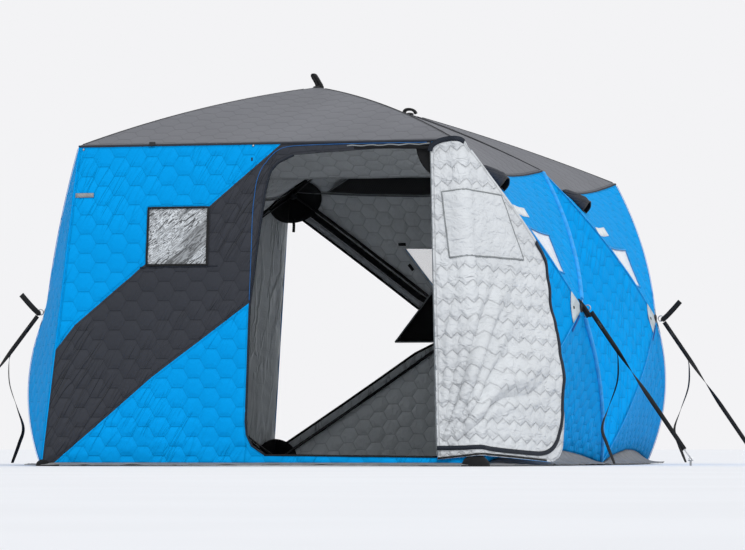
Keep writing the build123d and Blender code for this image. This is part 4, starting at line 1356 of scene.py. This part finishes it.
# ---- seams, hems and hoods ----
def edge_points(poles, first, count=24, share=1.0, lift=0.0):
    return [poles.place(first, share, step / count, lift) for step in range(count + 1)]


def make_seam_trim():
    """The piping along eaves and corners, and the tapes over the poles."""
    eaves = [edge_points(poles, 0, lift=0.002) for poles in wall_poles().values()]
    top = front_top()
    eaves.append([on_front(-front_edge(top) + 2 * front_edge(top) * t / 24, top, 0.003) for t in range(25)])
    fit(curve_piece("eave_piping", eaves, 0.006, "dark quilted polyester"), "dark_fabric")
    corners = []
    for side in (-1, 1):
        for end in (-1, 0, 1):
            corners.append([eave(side, end).lerp(foot(side, end), t / 20) + UP * 0.006 for t in range(21)])
    fit(curve_piece("wall_corner_piping", corners, 0.004, "blue quilted polyester"), "blue_fabric")
    roofs = [roof_poles(-1), roof_poles(1)]
    joins = [edge_points(roofs[0], 2, lift=0.003)]
    fit(curve_piece("roof_join_piping", joins, 0.006, "dark quilted polyester"), "dark_fabric")
    over = [over_pole(poles, index) for poles in roofs for index in range(4)]
    fit(tape_piece("roof_pole_seams", over, 0.008, 0.002, "dark seam tape"), "dark_fabric")
    # painted highlight: the walls' pole tapes are a lighter blue than the panels
    over = [over_pole(poles, index) for poles in wall_poles().values() for index in range(4)]
    fit(tape_piece("wall_pole_seams", over, 0.006, 0.002, "blue seam tape"), "blue_fabric")


def over_pole(poles, index, lift=0.0055):
    """Points and facings along the outside of a pole's seam, from its hub to its corner."""
    points, facings = [], []
    for step in range(41):
        share = 0.06 + 0.925 * step / 40
        facing = (poles.normal(index, share) + poles.normal((index + 3) % 4, share)).normalized()
        points.append(poles.seam(index, share) + facing * lift)
        facings.append(facing)
    return points, facings


def make_sleeves():
    """The pale sleeves of ruffled cloth sewn over the near room's two rear poles."""
    poles = wall_poles()["right_front"]
    runs = [over_pole(poles, index, 0.004)[0] for index in (1, 2)]
    # painted highlight: pale blue rolls along the pole ridges
    fit(curve_piece("right_wall_pole_ridge_highlights", runs, 0.014, "pale blue piping"), "blue_fabric")


def make_reflective_strips():
    """The side walls' reflective strips."""
    tapes = []
    for name, poles in wall_poles().items():
        if name != "back":
            tapes.append(trace(poles.surface(0), [(0.02, 0.596), (0.38, 0.636)], 12, 0.008))
    fit(tape_piece("side_reflective_strips", tapes, 0.060, 0.002, "reflective cloth"), "reflective_patch")


HOOD_ROOT = (0.31, 0.965)      # across, share from the hub
HOOD_MOUTH = (0.207, 0.768)
HOOD_HALF = 0.077
HOOD_RISE = 0.070


def make_vent_hoods():
    """Scoops of dark fabric sewn under the eaves, each held open by a wire in its mouth."""
    shells, mouths, wires = [], [], []
    for poles in wall_poles().values():

        def surface(side, along, lift, poles=poles):
            across = HOOD_ROOT[0] + (HOOD_MOUTH[0] - HOOD_ROOT[0]) * along
            share = HOOD_ROOT[1] + (HOOD_MOUTH[1] - HOOD_ROOT[1]) * along
            return poles.place(0, share, across + side / poles.width(0, share), lift)

        def place(x, y):
            turn = math.pi * x
            grown = 0.30 + 0.70 * math.sin(y * math.pi / 2)
            side = -math.cos(turn) * HOOD_HALF * (0.62 + 0.38 * y)
            lift = 0.006 + math.sin(turn) ** 0.6 * HOOD_RISE * grown
            slump = 0.006 * rough(x, y, 5, 5, 2) * math.sin(turn)
            drawn_back = 0.034 * math.sin(turn) * y ** 2
            return surface(side, y - drawn_back / 0.195, lift + slump), (x * 0.24, y * 0.2), 1.0

        shells.append(drape(unit_sheet(20, 14), place, poles.normal(0, 0.9)))
        wires.append([place(t / 20, 1.0)[0] for t in range(21)])

        def vent(x, y):
            side = (2 * x - 1) * HOOD_HALF * (0.58 + 0.38 * y)
            return surface(side, 0.04 + 0.94 * y, 0.008), (x * 0.15, y * 0.2), 1.0

        mouths.append(drape(unit_sheet(6, 8), vent, poles.normal(0, 0.9)))
    piece = as_object("vent_hood_fabric", joined(shells, weld=0),
                      ["dark quilted polyester", "black patch cloth"])
    fit(thicken(piece, 0.005, second=True), "dark_fabric", "vent_hoods")
    fit(curve_piece("vent_hood_wires", wires, 0.004, "black nylon"), "black_plastic")
    screens = thicken(as_object("vent_screens", joined(mouths, weld=0), ["black mesh"]), 0.002)
    fit(screens, "black_mesh")


def make_skirts():
    """Loose hems that run from the walls' feet out over the ice."""
    runs = []
    for poles in wall_poles().values():
        edge = edge_points(poles, 2, 60)
        runs.append((edge, poles.out))
    front = [on_front(-front_edge(0) + 2 * front_edge(0) * t / 60, 0.016, 0.0) for t in range(61)]
    runs.append((front, Vector((0, -1, 0))))
    sheets = []
    for edge, out in runs:
        along = (edge[-1] - edge[0]).normalized()
        away = along.cross(UP)
        away = away if away.dot(out) > 0 else -away

        def place(x, y, edge=edge, away=away):
            spot = x * (len(edge) - 1)
            row = min(int(spot), len(edge) - 2)
            top = edge[row].lerp(edge[row + 1], spot - row)
            ends = min(1.0, min(x, 1 - x) / 0.06)
            run = 0.018 + 0.125 * y
            fall = (1 - y) ** 2.2
            ripple = 0.010 * abs(rough(x, y, 34, 2.5, top.x)) * y * ends
            point = top + away * (run * (0.25 + 0.75 * ends) - 0.014)
            point.z = 0.006 + (top.z - 0.004) * fall + ripple
            return point, (x * 2.3, y * 0.2), 1.0

        sheets.append(drape(unit_sheet(110, 9), place, UP))
    piece = thicken(as_object("snow_skirt_fabric", joined(sheets, weld=0), ["grey skirt cloth"]), 0.003)
    fit(piece, "skirt_fabric", "snow_skirts")


# ---- corner patches, hubs and straps ----
def corner_disc(poles, first, at_end, radius, lift):
    """The part of a round corner patch that lies on one panel, from its edge to its pole's seam."""
    index = (first + at_end) % 4
    other = (first + 1 - at_end) % 4
    corner = poles.seam(index, 1.0)
    edge = (poles.seam(other, 1.0) - corner).normalized()
    inward = poles.seam(index, 1 - radius / 1.3) - corner
    seam_length = (poles.corners[index] - poles.hub).length
    whole = edge.angle(inward)

    def place(x, y):
        turn, reach = whole * y, radius * (0.03 + 0.97 * x)
        aside = reach * math.sin(whole - turn) / math.sin(whole)
        back = reach * math.sin(turn) / math.sin(whole)
        share = 1 - back / seam_length
        across = min(1.0, aside / poles.width(first, share))
        return poles.place(first, share, 1 - across if at_end else across, lift), (reach, turn * 0.1), 1.0

    return drape(unit_sheet(8, 10), place, poles.normal(first, 0.95))


EAVE_DISC = 0.215
FOOT_DISC = 0.16


def make_corner_patches():
    """Round black patches inside the eave corners and at the feet, where the poles press."""
    inner = []
    for poles in list(wall_poles().values()) + [roof_poles(-1), roof_poles(1)]:
        for first in range(4):
            for at_end in (0, 1):
                corner = poles.corners[(first + at_end) % 4]
                radius = EAVE_DISC if corner.z > 1.0 else FOOT_DISC
                radius *= 0.5 if abs(corner.y - MIDDLE.y) < 0.1 else 1.0
                inner.append(corner_disc(poles, first, at_end, radius, -0.016))
    for side in (-1, 1):
        for up, radius, start in ((front_top() - 0.01, EAVE_DISC, 180), (0.02, FOOT_DISC, 90)):

            def place(x, y, side=side, up=up, radius=radius, start=start):
                turn = math.radians(start + 90 * y)
                reach = radius * (0.05 + 0.95 * x)
                across = side * (front_edge(up) - 0.01 + reach * math.cos(turn))
                return on_front(across, up + reach * math.sin(turn), -0.016), (reach, y), 1.0

            inner.append(drape(unit_sheet(8, 10), place, Vector((0, -1, 0))))
    inner_set = thicken(as_object("inner_corner_patches", joined(inner, weld=0), ["black patch cloth"]),
                        0.003)
    fit(inner_set, "black_mesh")
    outer = []
    for side in (-1, 1):
        for end in (-1, 0, 1):
            radius = 0.078 if side > 0 and end < 0 else 0.046
            bm = bmesh.new()
            bmesh.ops.create_uvsphere(bm, u_segments=24, v_segments=12, radius=radius)
            bmesh.ops.bisect_plane(bm, geom=bm.verts[:] + bm.edges[:] + bm.faces[:], plane_co=(0, 0, 0),
                                   plane_no=(0, 0, 1), clear_inner=True)
            bmesh.ops.scale(bm, verts=bm.verts, vec=(1.0, 0.8, 0.82))
            for vert in bm.verts:
                vert.co += vert.co.normalized() * 0.004 * noise.noise(vert.co * 30)
            bmesh.ops.translate(bm, verts=bm.verts, vec=foot(side, end) - Vector((side, end, 0)) * 0.012)
            outer.append(bm)
    fit(as_object("foot_patches", joined(outer, weld=0), ["black patch cloth"]), "black_rubber")


# Handles as (out, up) from the hub: a pressed one points down, the others stand up from their rings.
RAISED_HANDLE = [(0.046, -0.010), (0.058, 0.000), (0.084, 0.024), (0.120, 0.062), (0.156, 0.102)]
RAISED_NECK = [(0.040, -0.014), (0.060, 0.004), (0.092, 0.036)]
PRESSED_HANDLE = [(-0.022, 0.042), (0.000, 0.020), (0.026, -0.014), (0.046, -0.050)]
PRESSED_LOOP = [(-0.014, 0.034), (0.018, 0.006), (0.040, -0.022), (0.056, -0.050)]
FRONT_ROOF_LOOP = [(0.026, -0.006), (0.022, 0.010), (-0.010, 0.064), (-0.020, 0.070), (-0.028, 0.064),
                   (-0.004, 0.020), (0.000, -0.006)]
BACK_ROOF_LOOP = [(-0.032, -0.004), (-0.032, 0.016), (-0.018, 0.028), (0.010, 0.028), (0.030, 0.018),
                  (0.040, 0.002)]


def hub_handle(hub, out, up, marks, facing):
    """Webbing through places given as (out, up) from its hub, flat to a facing or turned as it runs."""
    path = smoothed([hub + out * away + up * high for away, high in marks], 4)
    if facing is not None:
        return path, [facing] * len(path)
    side = UP.cross(out) if abs(out.z) < 0.5 else Vector((0, 1, 0))
    runs = [path[min(row + 1, len(path) - 1)] - path[max(row - 1, 0)] for row in range(len(path))]
    return path, [side.cross(run).normalized() for run in runs]


def make_hub_fittings():
    """Reflective patches, webbing handles and caps at the hubs."""
    patches, marks, handles, necks, roof_loops, caps, eyelets = [], [], [], [], [], [], []
    for name, poles in wall_poles().items():
        for first in (1, 3):

            def place(x, y, poles=poles, first=first):
                return poles.place(first, 0.030 + 0.080 * y, 0.04 + 0.92 * x, 0.009), (x * 0.1, y * 0.1), 1.0

            patches.append(drape(unit_sheet(6, 6), place, poles.normal(first, 0.1)))
            eyelets.append(([poles.place(first, 0.085, 0.5 + t, 0.011) for t in (-0.05, 0.05)],
                            [poles.normal(first, 0.085)] * 2))
        marks.append(trace(poles.surface(2), [(0.80, 0.05), (0.86, 0.15)], 6, 0.009))
        caps.append((poles.hub, poles.out))
        side = UP.cross(poles.out).normalized()
        pressed = name == "right_front"
        handles.append(hub_handle(poles.hub, poles.out, UP, PRESSED_HANDLE if pressed else RAISED_HANDLE,
                                  side))
        necks.append(hub_handle(poles.hub, poles.out, UP, PRESSED_LOOP if pressed else RAISED_NECK, side))
    for end, shape_marks in ((-1, FRONT_ROOF_LOOP), (1, BACK_ROOF_LOOP)):
        poles = roof_poles(end)
        caps.append((poles.hub, poles.out))
        roof_loops.append(hub_handle(poles.hub + UP * 0.004, Vector((1, 0, 0)), UP, shape_marks, None))
    piece = thicken(as_object("hub_reflective_patches", joined(patches, weld=0), ["grey reflective cloth"]),
                    0.002)
    fit(piece, "reflective_patch", "hub_patches")
    fit(tape_piece("hub_patch_eyelets", eyelets, 0.012, 0.002, "black webbing"), "black_webbing")
    fit(tape_piece("hub_striped_tabs", marks, 0.016, 0.002, "striped blue tape"), "blue_fabric")
    fit(tape_piece("hub_pull_handles", handles, 0.030, 0.007, "black webbing"), "black_webbing",
        "hub_pull_tabs")
    fit(tape_piece("hub_pull_necks", necks, 0.015, 0.009, "black webbing"), "black_webbing")
    fit(tape_piece("roof_pull_handles", roof_loops, 0.030, 0.016, "black webbing"), "black_webbing",
        "roof_pull_loops")
    discs = bmesh.new()
    for hub, out in caps:
        made = bmesh.ops.create_uvsphere(discs, u_segments=20, v_segments=10, radius=0.026)["verts"]
        bmesh.ops.scale(discs, verts=made, vec=(1, 1, 0.35))
        bmesh.ops.rotate(discs, verts=made, matrix=out.to_track_quat("Z", "Y").to_matrix())
        bmesh.ops.translate(discs, verts=made, vec=hub + out * 0.004)
    fit(as_object("hub_caps", discs, ["black nylon"]), "black_plastic")


def smoothed(path, steps):
    """More points through a path, on a smooth curve."""
    points = []
    for i in range(len(path) - 1):
        before, start = path[max(i - 1, 0)], path[i]
        end, after = path[i + 1], path[min(i + 2, len(path) - 1)]
        for step in range(steps):
            t = step / steps
            points.append(0.5 * (2 * start + (end - before) * t
                                 + (2 * before - 5 * start + 4 * end - after) * t ** 2
                                 + (3 * start - before - 3 * end + after) * t ** 3))
    points.append(path[-1])
    return points


def tie_downs():
    """Each strap's hub end, its foot over the anchor, and the way its hub faces."""
    low, high = [Vector(corner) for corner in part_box("ice_anchors")]
    lines = []
    for name, poles in wall_poles().items():
        if name == "back":
            anchor = Vector((poles.hub.x, high.y - 0.014, 0))
        else:
            anchor = Vector((high.x - 0.014 if poles.out.x > 0 else low.x + 0.014, poles.hub.y, 0))
        start = poles.hub + poles.out * 0.058 - UP * 0.022
        lines.append((start, anchor + UP * 0.040, poles.out))
    return lines


def make_tie_downs():
    """The straps, their loose tails, locks and hooks."""
    straps, tails, hooks, keepers = [], [], [], []
    for number, (start, end, out) in enumerate(tie_downs()):
        run = (end - start).normalized()
        side = UP.cross(out).normalized()
        stop = end - run * 0.060
        points = [start.lerp(stop, t / 48) for t in range(49)]
        facings = []
        for t in range(49):
            twist = math.pi * (0.5 + max(0.0, min(1.0, (t - 12) / 20))) * (1 if number % 2 == 0 else -1)
            facings.append(Matrix.Rotation(twist, 3, run) @ run.cross(side))
        straps.append((points, facings))
        fall = start.lerp(end, 0.25)
        back = -out
        path = [fall - UP * 0.006, fall + out * 0.012 - UP * 0.07, fall + out * 0.006 - UP * 0.19, fall
                + back * 0.045 + side * 0.01 - UP * 0.33, fall + back * 0.082 + side * 0.015 - UP * 0.44,
                fall + back * 0.055 + side * 0.01 - UP * 0.53]
        path.append(Vector((fall.x, fall.y, 0)) + back * 0.010 + UP * 0.012)
        bent = smoothed(path, 8)
        tails.append((bent, [Matrix.Rotation(0.5 * math.sin(row * 0.12), 3, "Z") @ out
                             for row in range(len(bent))]))
        hooks.append([stop + side * 0.012, stop + run * 0.030 + side * 0.010, stop + run * 0.062
                      + side * 0.004, end + run * 0.012 + UP * 0.006, end + run * 0.004 - UP * 0.014, end
                      - run * 0.020 - UP * 0.016])
        hooks.append([stop - side * 0.012, stop + side * 0.012])
        hooks.append([stop - side * 0.012, stop + run * 0.030 - side * 0.010, stop + run * 0.055])
        keepers.append((start, run, side))
    fit(tape_piece("tie_down_webbing", straps, 0.025, 0.002, "black webbing"), "black_webbing",
        "tie_down_straps")
    fit(tape_piece("strap_tails", tails, 0.025, 0.002, "black webbing"), "black_webbing")
    fit(curve_piece("strap_wire_hooks", hooks, 0.0032, "zinc plated steel", smooth=True), "plated_steel",
        "strap_hooks")
    frames = []
    for start, run, side in keepers:
        spin = Matrix((side, run.cross(side), run)).transposed()
        for place, size in (((0, 0, 0.020), (0.036, 0.009, 0.007)), ((0, 0, -0.020), (0.036, 0.009, 0.007)),
                            ((0, 0.004, 0), (0.036, 0.007, 0.008)), ((0.0165, 0, 0), (0.005, 0.009, 0.046)),
                            ((-0.0165, 0, 0), (0.005, 0.009, 0.046))):
            bm = bevelled_box(size, 0.0015)
            bmesh.ops.translate(bm, verts=bm.verts, vec=place)
            bmesh.ops.rotate(bm, verts=bm.verts, matrix=spin)
            bmesh.ops.translate(bm, verts=bm.verts, vec=start + run * 0.090)
            frames.append(bm)
    fit(as_object("strap_ladder_locks", joined(frames, weld=0), ["black nylon"]), "black_plastic",
        "strap_buckles")


# ---- inside the rooms ----
MESH_SHARES = (0.66, 0.96)
MESH_MARGIN = 0.230
HUB_CLOTH = [(-0.455, -0.098), (0.455, -0.098), (0.200, 0.230), (-0.200, 0.230)]   # across, up from the hub
HUB_CLOTH_IN = 0.098


def make_inner_trim():
    """The mesh pocket under the back roof, the cloth that hangs inside the back hub, and seam tapes."""
    roof, back = roof_poles(1), back_poles()
    near, far = MESH_SHARES

    def pocket(x, y):
        share = near + (far - near) * y
        margin = MESH_MARGIN / roof.width(2, share)
        sag = -0.030 - 0.012 * math.sin(math.pi * x) * math.sin(math.pi * y)
        return roof.place(2, share, margin + (1 - 2 * margin) * x, sag), (x, y), 1.0

    bm = drape(unit_sheet(40, 12), pocket, -UP)
    piece = thicken(as_object("overhead_mesh_cloth", bm, ["black mesh"]), 0.003)
    half = [roof.width(2, share) / 2 - MESH_MARGIN for share in (near, far)]
    mesh_cut = [(-half[0], near * roof.reach(2)), (half[0], near * roof.reach(2)),
                (half[1], far * roof.reach(2)), (-half[1], far * roof.reach(2))]
    fit(piece, "black_mesh", "overhead_mesh")
    cut_size(mesh_cut)
    rim = [spot for spot, _, _ in along(pocket, [(0, 1), (0, 0), (1, 0), (1, 1), (0, 1)], (8, 24, 8, 24))]
    corner = pocket(1, 0)[0]
    ties = [([corner + (roof.seam(3, near - 0.10) - corner) * (0.1 + 0.55 * t / 3) for t in range(4)],
             [-UP] * 4)]
    fit(tape_piece("overhead_mesh_ties", ties, 0.022, 0.004, "black webbing"), "black_webbing")

    def hung(x, y, lift=0.0):
        low, high = HUB_CLOTH[1], HUB_CLOTH[2]
        half = low[0] + (high[0] - low[0]) * y
        swell = 0.006 * rough(x, y, 5, 4, 3)
        spot = Vector(((2 * x - 1) * half, -HUB_CLOTH_IN - lift + swell, low[1] + (high[1] - low[1]) * y))
        return back.hub + spot

    def hung_place(x, y):
        return hung(x, y), (x, y * 0.4), 1.0

    bm = drape(unit_sheet(24, 12), hung_place, Vector((0, -1, 0)))
    piece = thicken(as_object("back_hub_cloth", bm, ["black patch cloth"]), 0.003)
    fit(piece, "black_mesh", "back_hub_panel")
    cut_size(HUB_CLOTH)
    edge = along(lambda x, y: hung(x, y, 0.004), [(0, 0), (0, 1), (1, 1), (1, 0), (0, 0)], (8, 12, 8, 16))
    seams = [rim, edge]
    for poles in wall_poles().values():
        seams.append(edge_points(poles, 0, share=0.992, lift=-0.014))
    for side in (-1, 1):
        for end in (-1, 0, 1):
            if (side, end) != (-1, 1):
                inward = Vector((-side * 0.020, -end * 0.020, 0))
                seams.append([eave(side, end).lerp(foot(side, end), 0.02 + 0.96 * t / 20) + inward
                              for t in range(21)])
    fit(curve_piece("inner_seam_piping", seams, 0.005, "grey seam tape"), "silver_lining")
    ridges = [inner_pole(poles, index) for poles in wall_poles().values() for index in range(4)]
    ridges += [inner_pole(roof_poles(end), index) for end in (-1, 1) for index in range(4)]
    fit(curve_piece("pole_sleeves", ridges, 0.0085, "black webbing"), "black_webbing")


def inner_pole(poles, index):
    """The line of a pole inside its seam, between its hub and its corner patch."""
    points = []
    for step in range(25):
        share = 0.08 + 0.87 * step / 24
        facing = (poles.normal(index, share) + poles.normal((index + 3) % 4, share)).normalized()
        points.append(poles.seam(index, share) - facing * 0.014)
    return points


def make_back_doorway():
    """The open back doorway: strips of wall beside its poles, their zips and edges, and its folded door."""
    back = back_poles()

    def strip(start, end):
        """A surface from one distance to another, in metres, off the pole that it starts from."""

        def place(x, y, lift=0.0):
            share = 0.10 + 0.90 * y
            wide = back.width(3, share)
            away = (start + (end - start) * x) * min(1.0, wide / 0.5) / wide
            across = away if start >= 0 and end > 0 else 1 + away
            return back.place(3, share, across, lift), back.flat(3, share, across), 0.03

        return place

    def line(start, lift):
        place = strip(start, start * 1.001)
        return [place(0.0, t / 30, lift)[0] for t in range(31)], [-back.normal(3, 0.5)] * 31

    sheets = [drape(unit_sheet(6, 60), strip(*ends), back.normal(3, 0.5))
              for ends in ((0.0, 0.084), (-0.0001, -0.130))]
    piece = as_object("back_doorway_strips", joined(sheets, weld=0),
                      ["blue quilted polyester", "grey hanging lining"])
    fit(thicken(piece, 0.008, quilted=True, second=True), "blue_fabric")
    fit(tape_piece("back_doorway_zips", [line(-0.050, -0.008)], 0.036, 0.006, "black webbing"),
        "black_webbing")
    edges = [line(0.078, -0.006), line(-0.128, -0.006)]
    fit(tape_piece("back_doorway_edge_tapes", edges, 0.014, 0.010, "black webbing"), "black_webbing")
    fit(tape_piece("back_doorway_pale_tape", [line(-0.098, -0.008)], 0.030, 0.004, "grey crumpled tape"),
        "silver_lining")
    poles = wall_poles()["left_back"]

    def leaf(x, y):
        share = 0.14 + 0.84 * y
        across = 0.02 + 0.95 * x
        swell = 0.006 * rough(x, y, 7, 7, 1)
        return poles.place(1, share, across, 0.026 + swell), poles.flat(1, share, across), min(x, 1 - x, y, 1
                                                                                               - y)

    bm = drape(unit_sheet(48, 44), leaf, poles.normal(1, 0.5))
    piece = as_object("back_door_fabric", bm, ["grey quilted lining", "blue quilted polyester"])
    fit(thicken(piece, 0.012, quilted=True, second=True), "silver_lining", "back_door_leaf")
    corners = [leaf(x, y)[1] for x, y in ((0, 0), (1, 0), (1, 1), (0, 1))]
    cut_size(corners)
    edge = [spot for spot, _, _ in along(leaf, [(0, 1), (0, 0), (1, 0), (1, 1)], (10, 10, 10))]
    fit(curve_piece("back_door_edge_zip", [edge], 0.009, "navy zip tape"), "black_webbing")


def make_inner_tabs():
    """Hook-and-loop tabs round the back window, the loop beside the back wall, and a toggle strap."""
    back = back_poles()
    tabs = []
    for across, share, turn in ((0.219, 0.617, 0.0), (0.150, 0.445, -0.9), (0.5, 0.617, 0.0),
                                (0.781, 0.617, 0.0), (0.850, 0.445, 0.9)):
        centre = back.place(0, share, across, -0.012)
        run = Vector((math.cos(turn), 0, math.sin(turn)))
        tabs.append(([centre - run * 0.024, centre + run * 0.024], [-back.normal(0, share)] * 2))
    fit(tape_piece("window_cover_tabs", tabs, 0.020, 0.004, "black webbing"), "black_webbing")
    corner = eave(-1, 1) + Vector((0.045, -0.060, -0.190))
    strap = [corner, corner + Vector((0.002, 0, -0.045)), corner + Vector((0.0, 0, -0.088))]
    fit(tape_piece("corner_toggle_strap", [(smoothed(strap, 4), [Vector((0, -1, 0))] * 9)], 0.018, 0.003,
                   "black webbing"), "black_webbing")
    loop = back.place(1, 0.62, 0.5, -0.02)
    ends = [loop + UP * 0.03, loop - UP * 0.03]
    fit(tape_piece("back_wall_blue_loop", [(ends, [Vector((0, -1, 0))] * 2)], 0.030, 0.004,
                   "striped blue tape"), "blue_fabric")


# ---- the frame's own parts ----
NODE_FINISHES = {
    "fibreglass pole": ["right_front_wall_poles", "right_back_wall_poles", "left_front_wall_poles",
                        "left_back_wall_poles", "back_wall_poles", "front_roof_poles", "back_roof_poles"],
    "black nylon": ["wall_hubs", "roof_hubs", "eave_corner_sockets"],
    "black rubber": ["pole_boots"],
    "zinc plated steel": ["hub_pull_rings", "ice_anchors"],
}


def make_frame_finishes():
    """Gives the poles, hubs and fittings of the frame their finish."""
    for finish, nodes in NODE_FINISHES.items():
        for node in nodes:
            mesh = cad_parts[node].data
            mesh.materials.clear()
            mesh.materials.append(finished(finish))


# ---- stage ----
FLOOR_SIZE = 700
DAYLIGHT = (0.965, 0.985, 1.0, 1)
DAYLIGHT_STRENGTH = 0.70
SUN_STRENGTH = 1.6
SUN_FROM = (0.42, -0.60, 0.70)
SUN_ANGLE = math.radians(25)       # wide, so that shadows are soft
LENS = 219.1                       # millimetres, on a sensor 36 wide
EYE = (6.789, -25.772, 0.095)      # from the middle of the hut
HEADING = math.radians(14.667)     # to the left of straight ahead
PITCH = math.radians(2.191)        # upwards


def make_stage():
    """The floor, the daylight and the camera."""
    scene = bpy.context.scene
    scene.view_settings.view_transform = "Standard"
    floor = unit_sheet(8, 8)
    for vert in floor.verts:
        vert.co = Vector(((vert.co.x - 0.5) * FLOOR_SIZE, (vert.co.y - 0.5) * FLOOR_SIZE, -0.001))
    ground = as_object("stage_floor", floor, ["snow white floor"])
    world = bpy.data.worlds.new("soft daylight")
    scene.world = world
    world.use_nodes = True
    tree = world.node_tree
    tree.nodes.clear()
    path = add(tree, "ShaderNodeLightPath")
    seen = combine(tree, "MAXIMUM", path.outputs["Is Camera Ray"], path.outputs["Is Transmission Ray"])
    seen = combine(tree, "MAXIMUM", seen, path.outputs["Is Glossy Ray"])
    day = add(tree, "ShaderNodeBackground", {0: DAYLIGHT, 1: DAYLIGHT_STRENGTH})
    backdrop = add(tree, "ShaderNodeBackground", {0: rgba(colours().sky), 1: 1.0})
    mixed = add(tree, "ShaderNodeMixShader", {0: seen, 1: day.outputs[0], 2: backdrop.outputs[0]})
    add(tree, "ShaderNodeOutputWorld", {0: mixed.outputs[0]})
    lamp = bpy.data.lights.new("soft sun", "SUN")
    lamp.energy = SUN_STRENGTH
    lamp.angle = SUN_ANGLE
    sun = bpy.data.objects.new("soft sun", lamp)
    scene.collection.objects.link(sun)
    sun.rotation_euler = Vector(SUN_FROM).to_track_quat("Z", "Y").to_euler()
    camera = bpy.data.cameras.new("camera")
    camera.sensor_width = 36.0
    camera.lens = LENS
    camera.clip_end = 1200
    holder = bpy.data.objects.new("camera", camera)
    scene.collection.objects.link(holder)
    level = math.cos(PITCH)
    ahead = Vector((-math.sin(HEADING) * level, math.cos(HEADING) * level, math.sin(PITCH)))
    holder.location = MIDDLE + Vector(EYE)
    holder.rotation_euler = (-ahead).to_track_quat("Z", "Y").to_euler()
    scene.camera = holder


# ---- operators ----
def operator(maker):
    """An operator class that runs one maker and takes its name and description."""
    name = maker.__name__.removeprefix("make_")

    def execute(self, context):
        maker()
        return {"FINISHED"}

    members = {"bl_idname": f"hut.{name}", "bl_label": name.replace("_", " ").capitalize(),
               "__doc__": maker.__doc__, "execute": execute}
    return type(f"HUT_OT_{name}", (bpy.types.Operator,), members)


OPERATORS = [operator(maker) for maker in (
    make_stage, make_frame_finishes, make_wall_fabric, make_roof_fabric, make_front_wall,
    make_front_window, make_side_windows, make_door_flap, make_door_top_corner, make_door_window_cover,
    make_door_trim, make_doorway_trim, make_seam_trim, make_sleeves, make_reflective_strips,
    make_vent_hoods, make_skirts, make_corner_patches, make_hub_fittings, make_tie_downs, make_inner_trim,
    make_back_doorway, make_inner_tabs,
)]


class HUT_PT_panel(bpy.types.Panel):
    bl_idname = "HUT_PT_panel"
    bl_label = "Ice fishing hut"
    bl_space_type = "VIEW_3D"
    bl_region_type = "UI"
    bl_category = "Hut"

    def draw(self, context):
        column = self.layout.column()
        for group in (context.scene.hut_shape, context.scene.hut_cloth, context.scene.hut_colours):
            for name in group.bl_rna.properties.keys():
                if name not in ("rna_type", "name"):
                    column.prop(group, name)
        for made in OPERATORS:
            column.operator(made.bl_idname)


GROUPS = {"hut_shape": HutShape, "hut_cloth": HutCloth, "hut_colours": HutColours}


def register():
    for name, group in GROUPS.items():
        bpy.utils.register_class(group)
        setattr(bpy.types.Scene, name, PointerProperty(type=group))
    for made in OPERATORS:
        bpy.utils.register_class(made)
    bpy.utils.register_class(HUT_PT_panel)


def unregister():
    bpy.utils.unregister_class(HUT_PT_panel)
    for made in reversed(OPERATORS):
        bpy.utils.unregister_class(made)
    for name, group in GROUPS.items():
        delattr(bpy.types.Scene, name)
        bpy.utils.unregister_class(group)


def main():
    register()
    for made in OPERATORS:
        getattr(bpy.ops.hut, made.bl_idname.split(".")[1])()


if __name__ == "__main__":
    main()
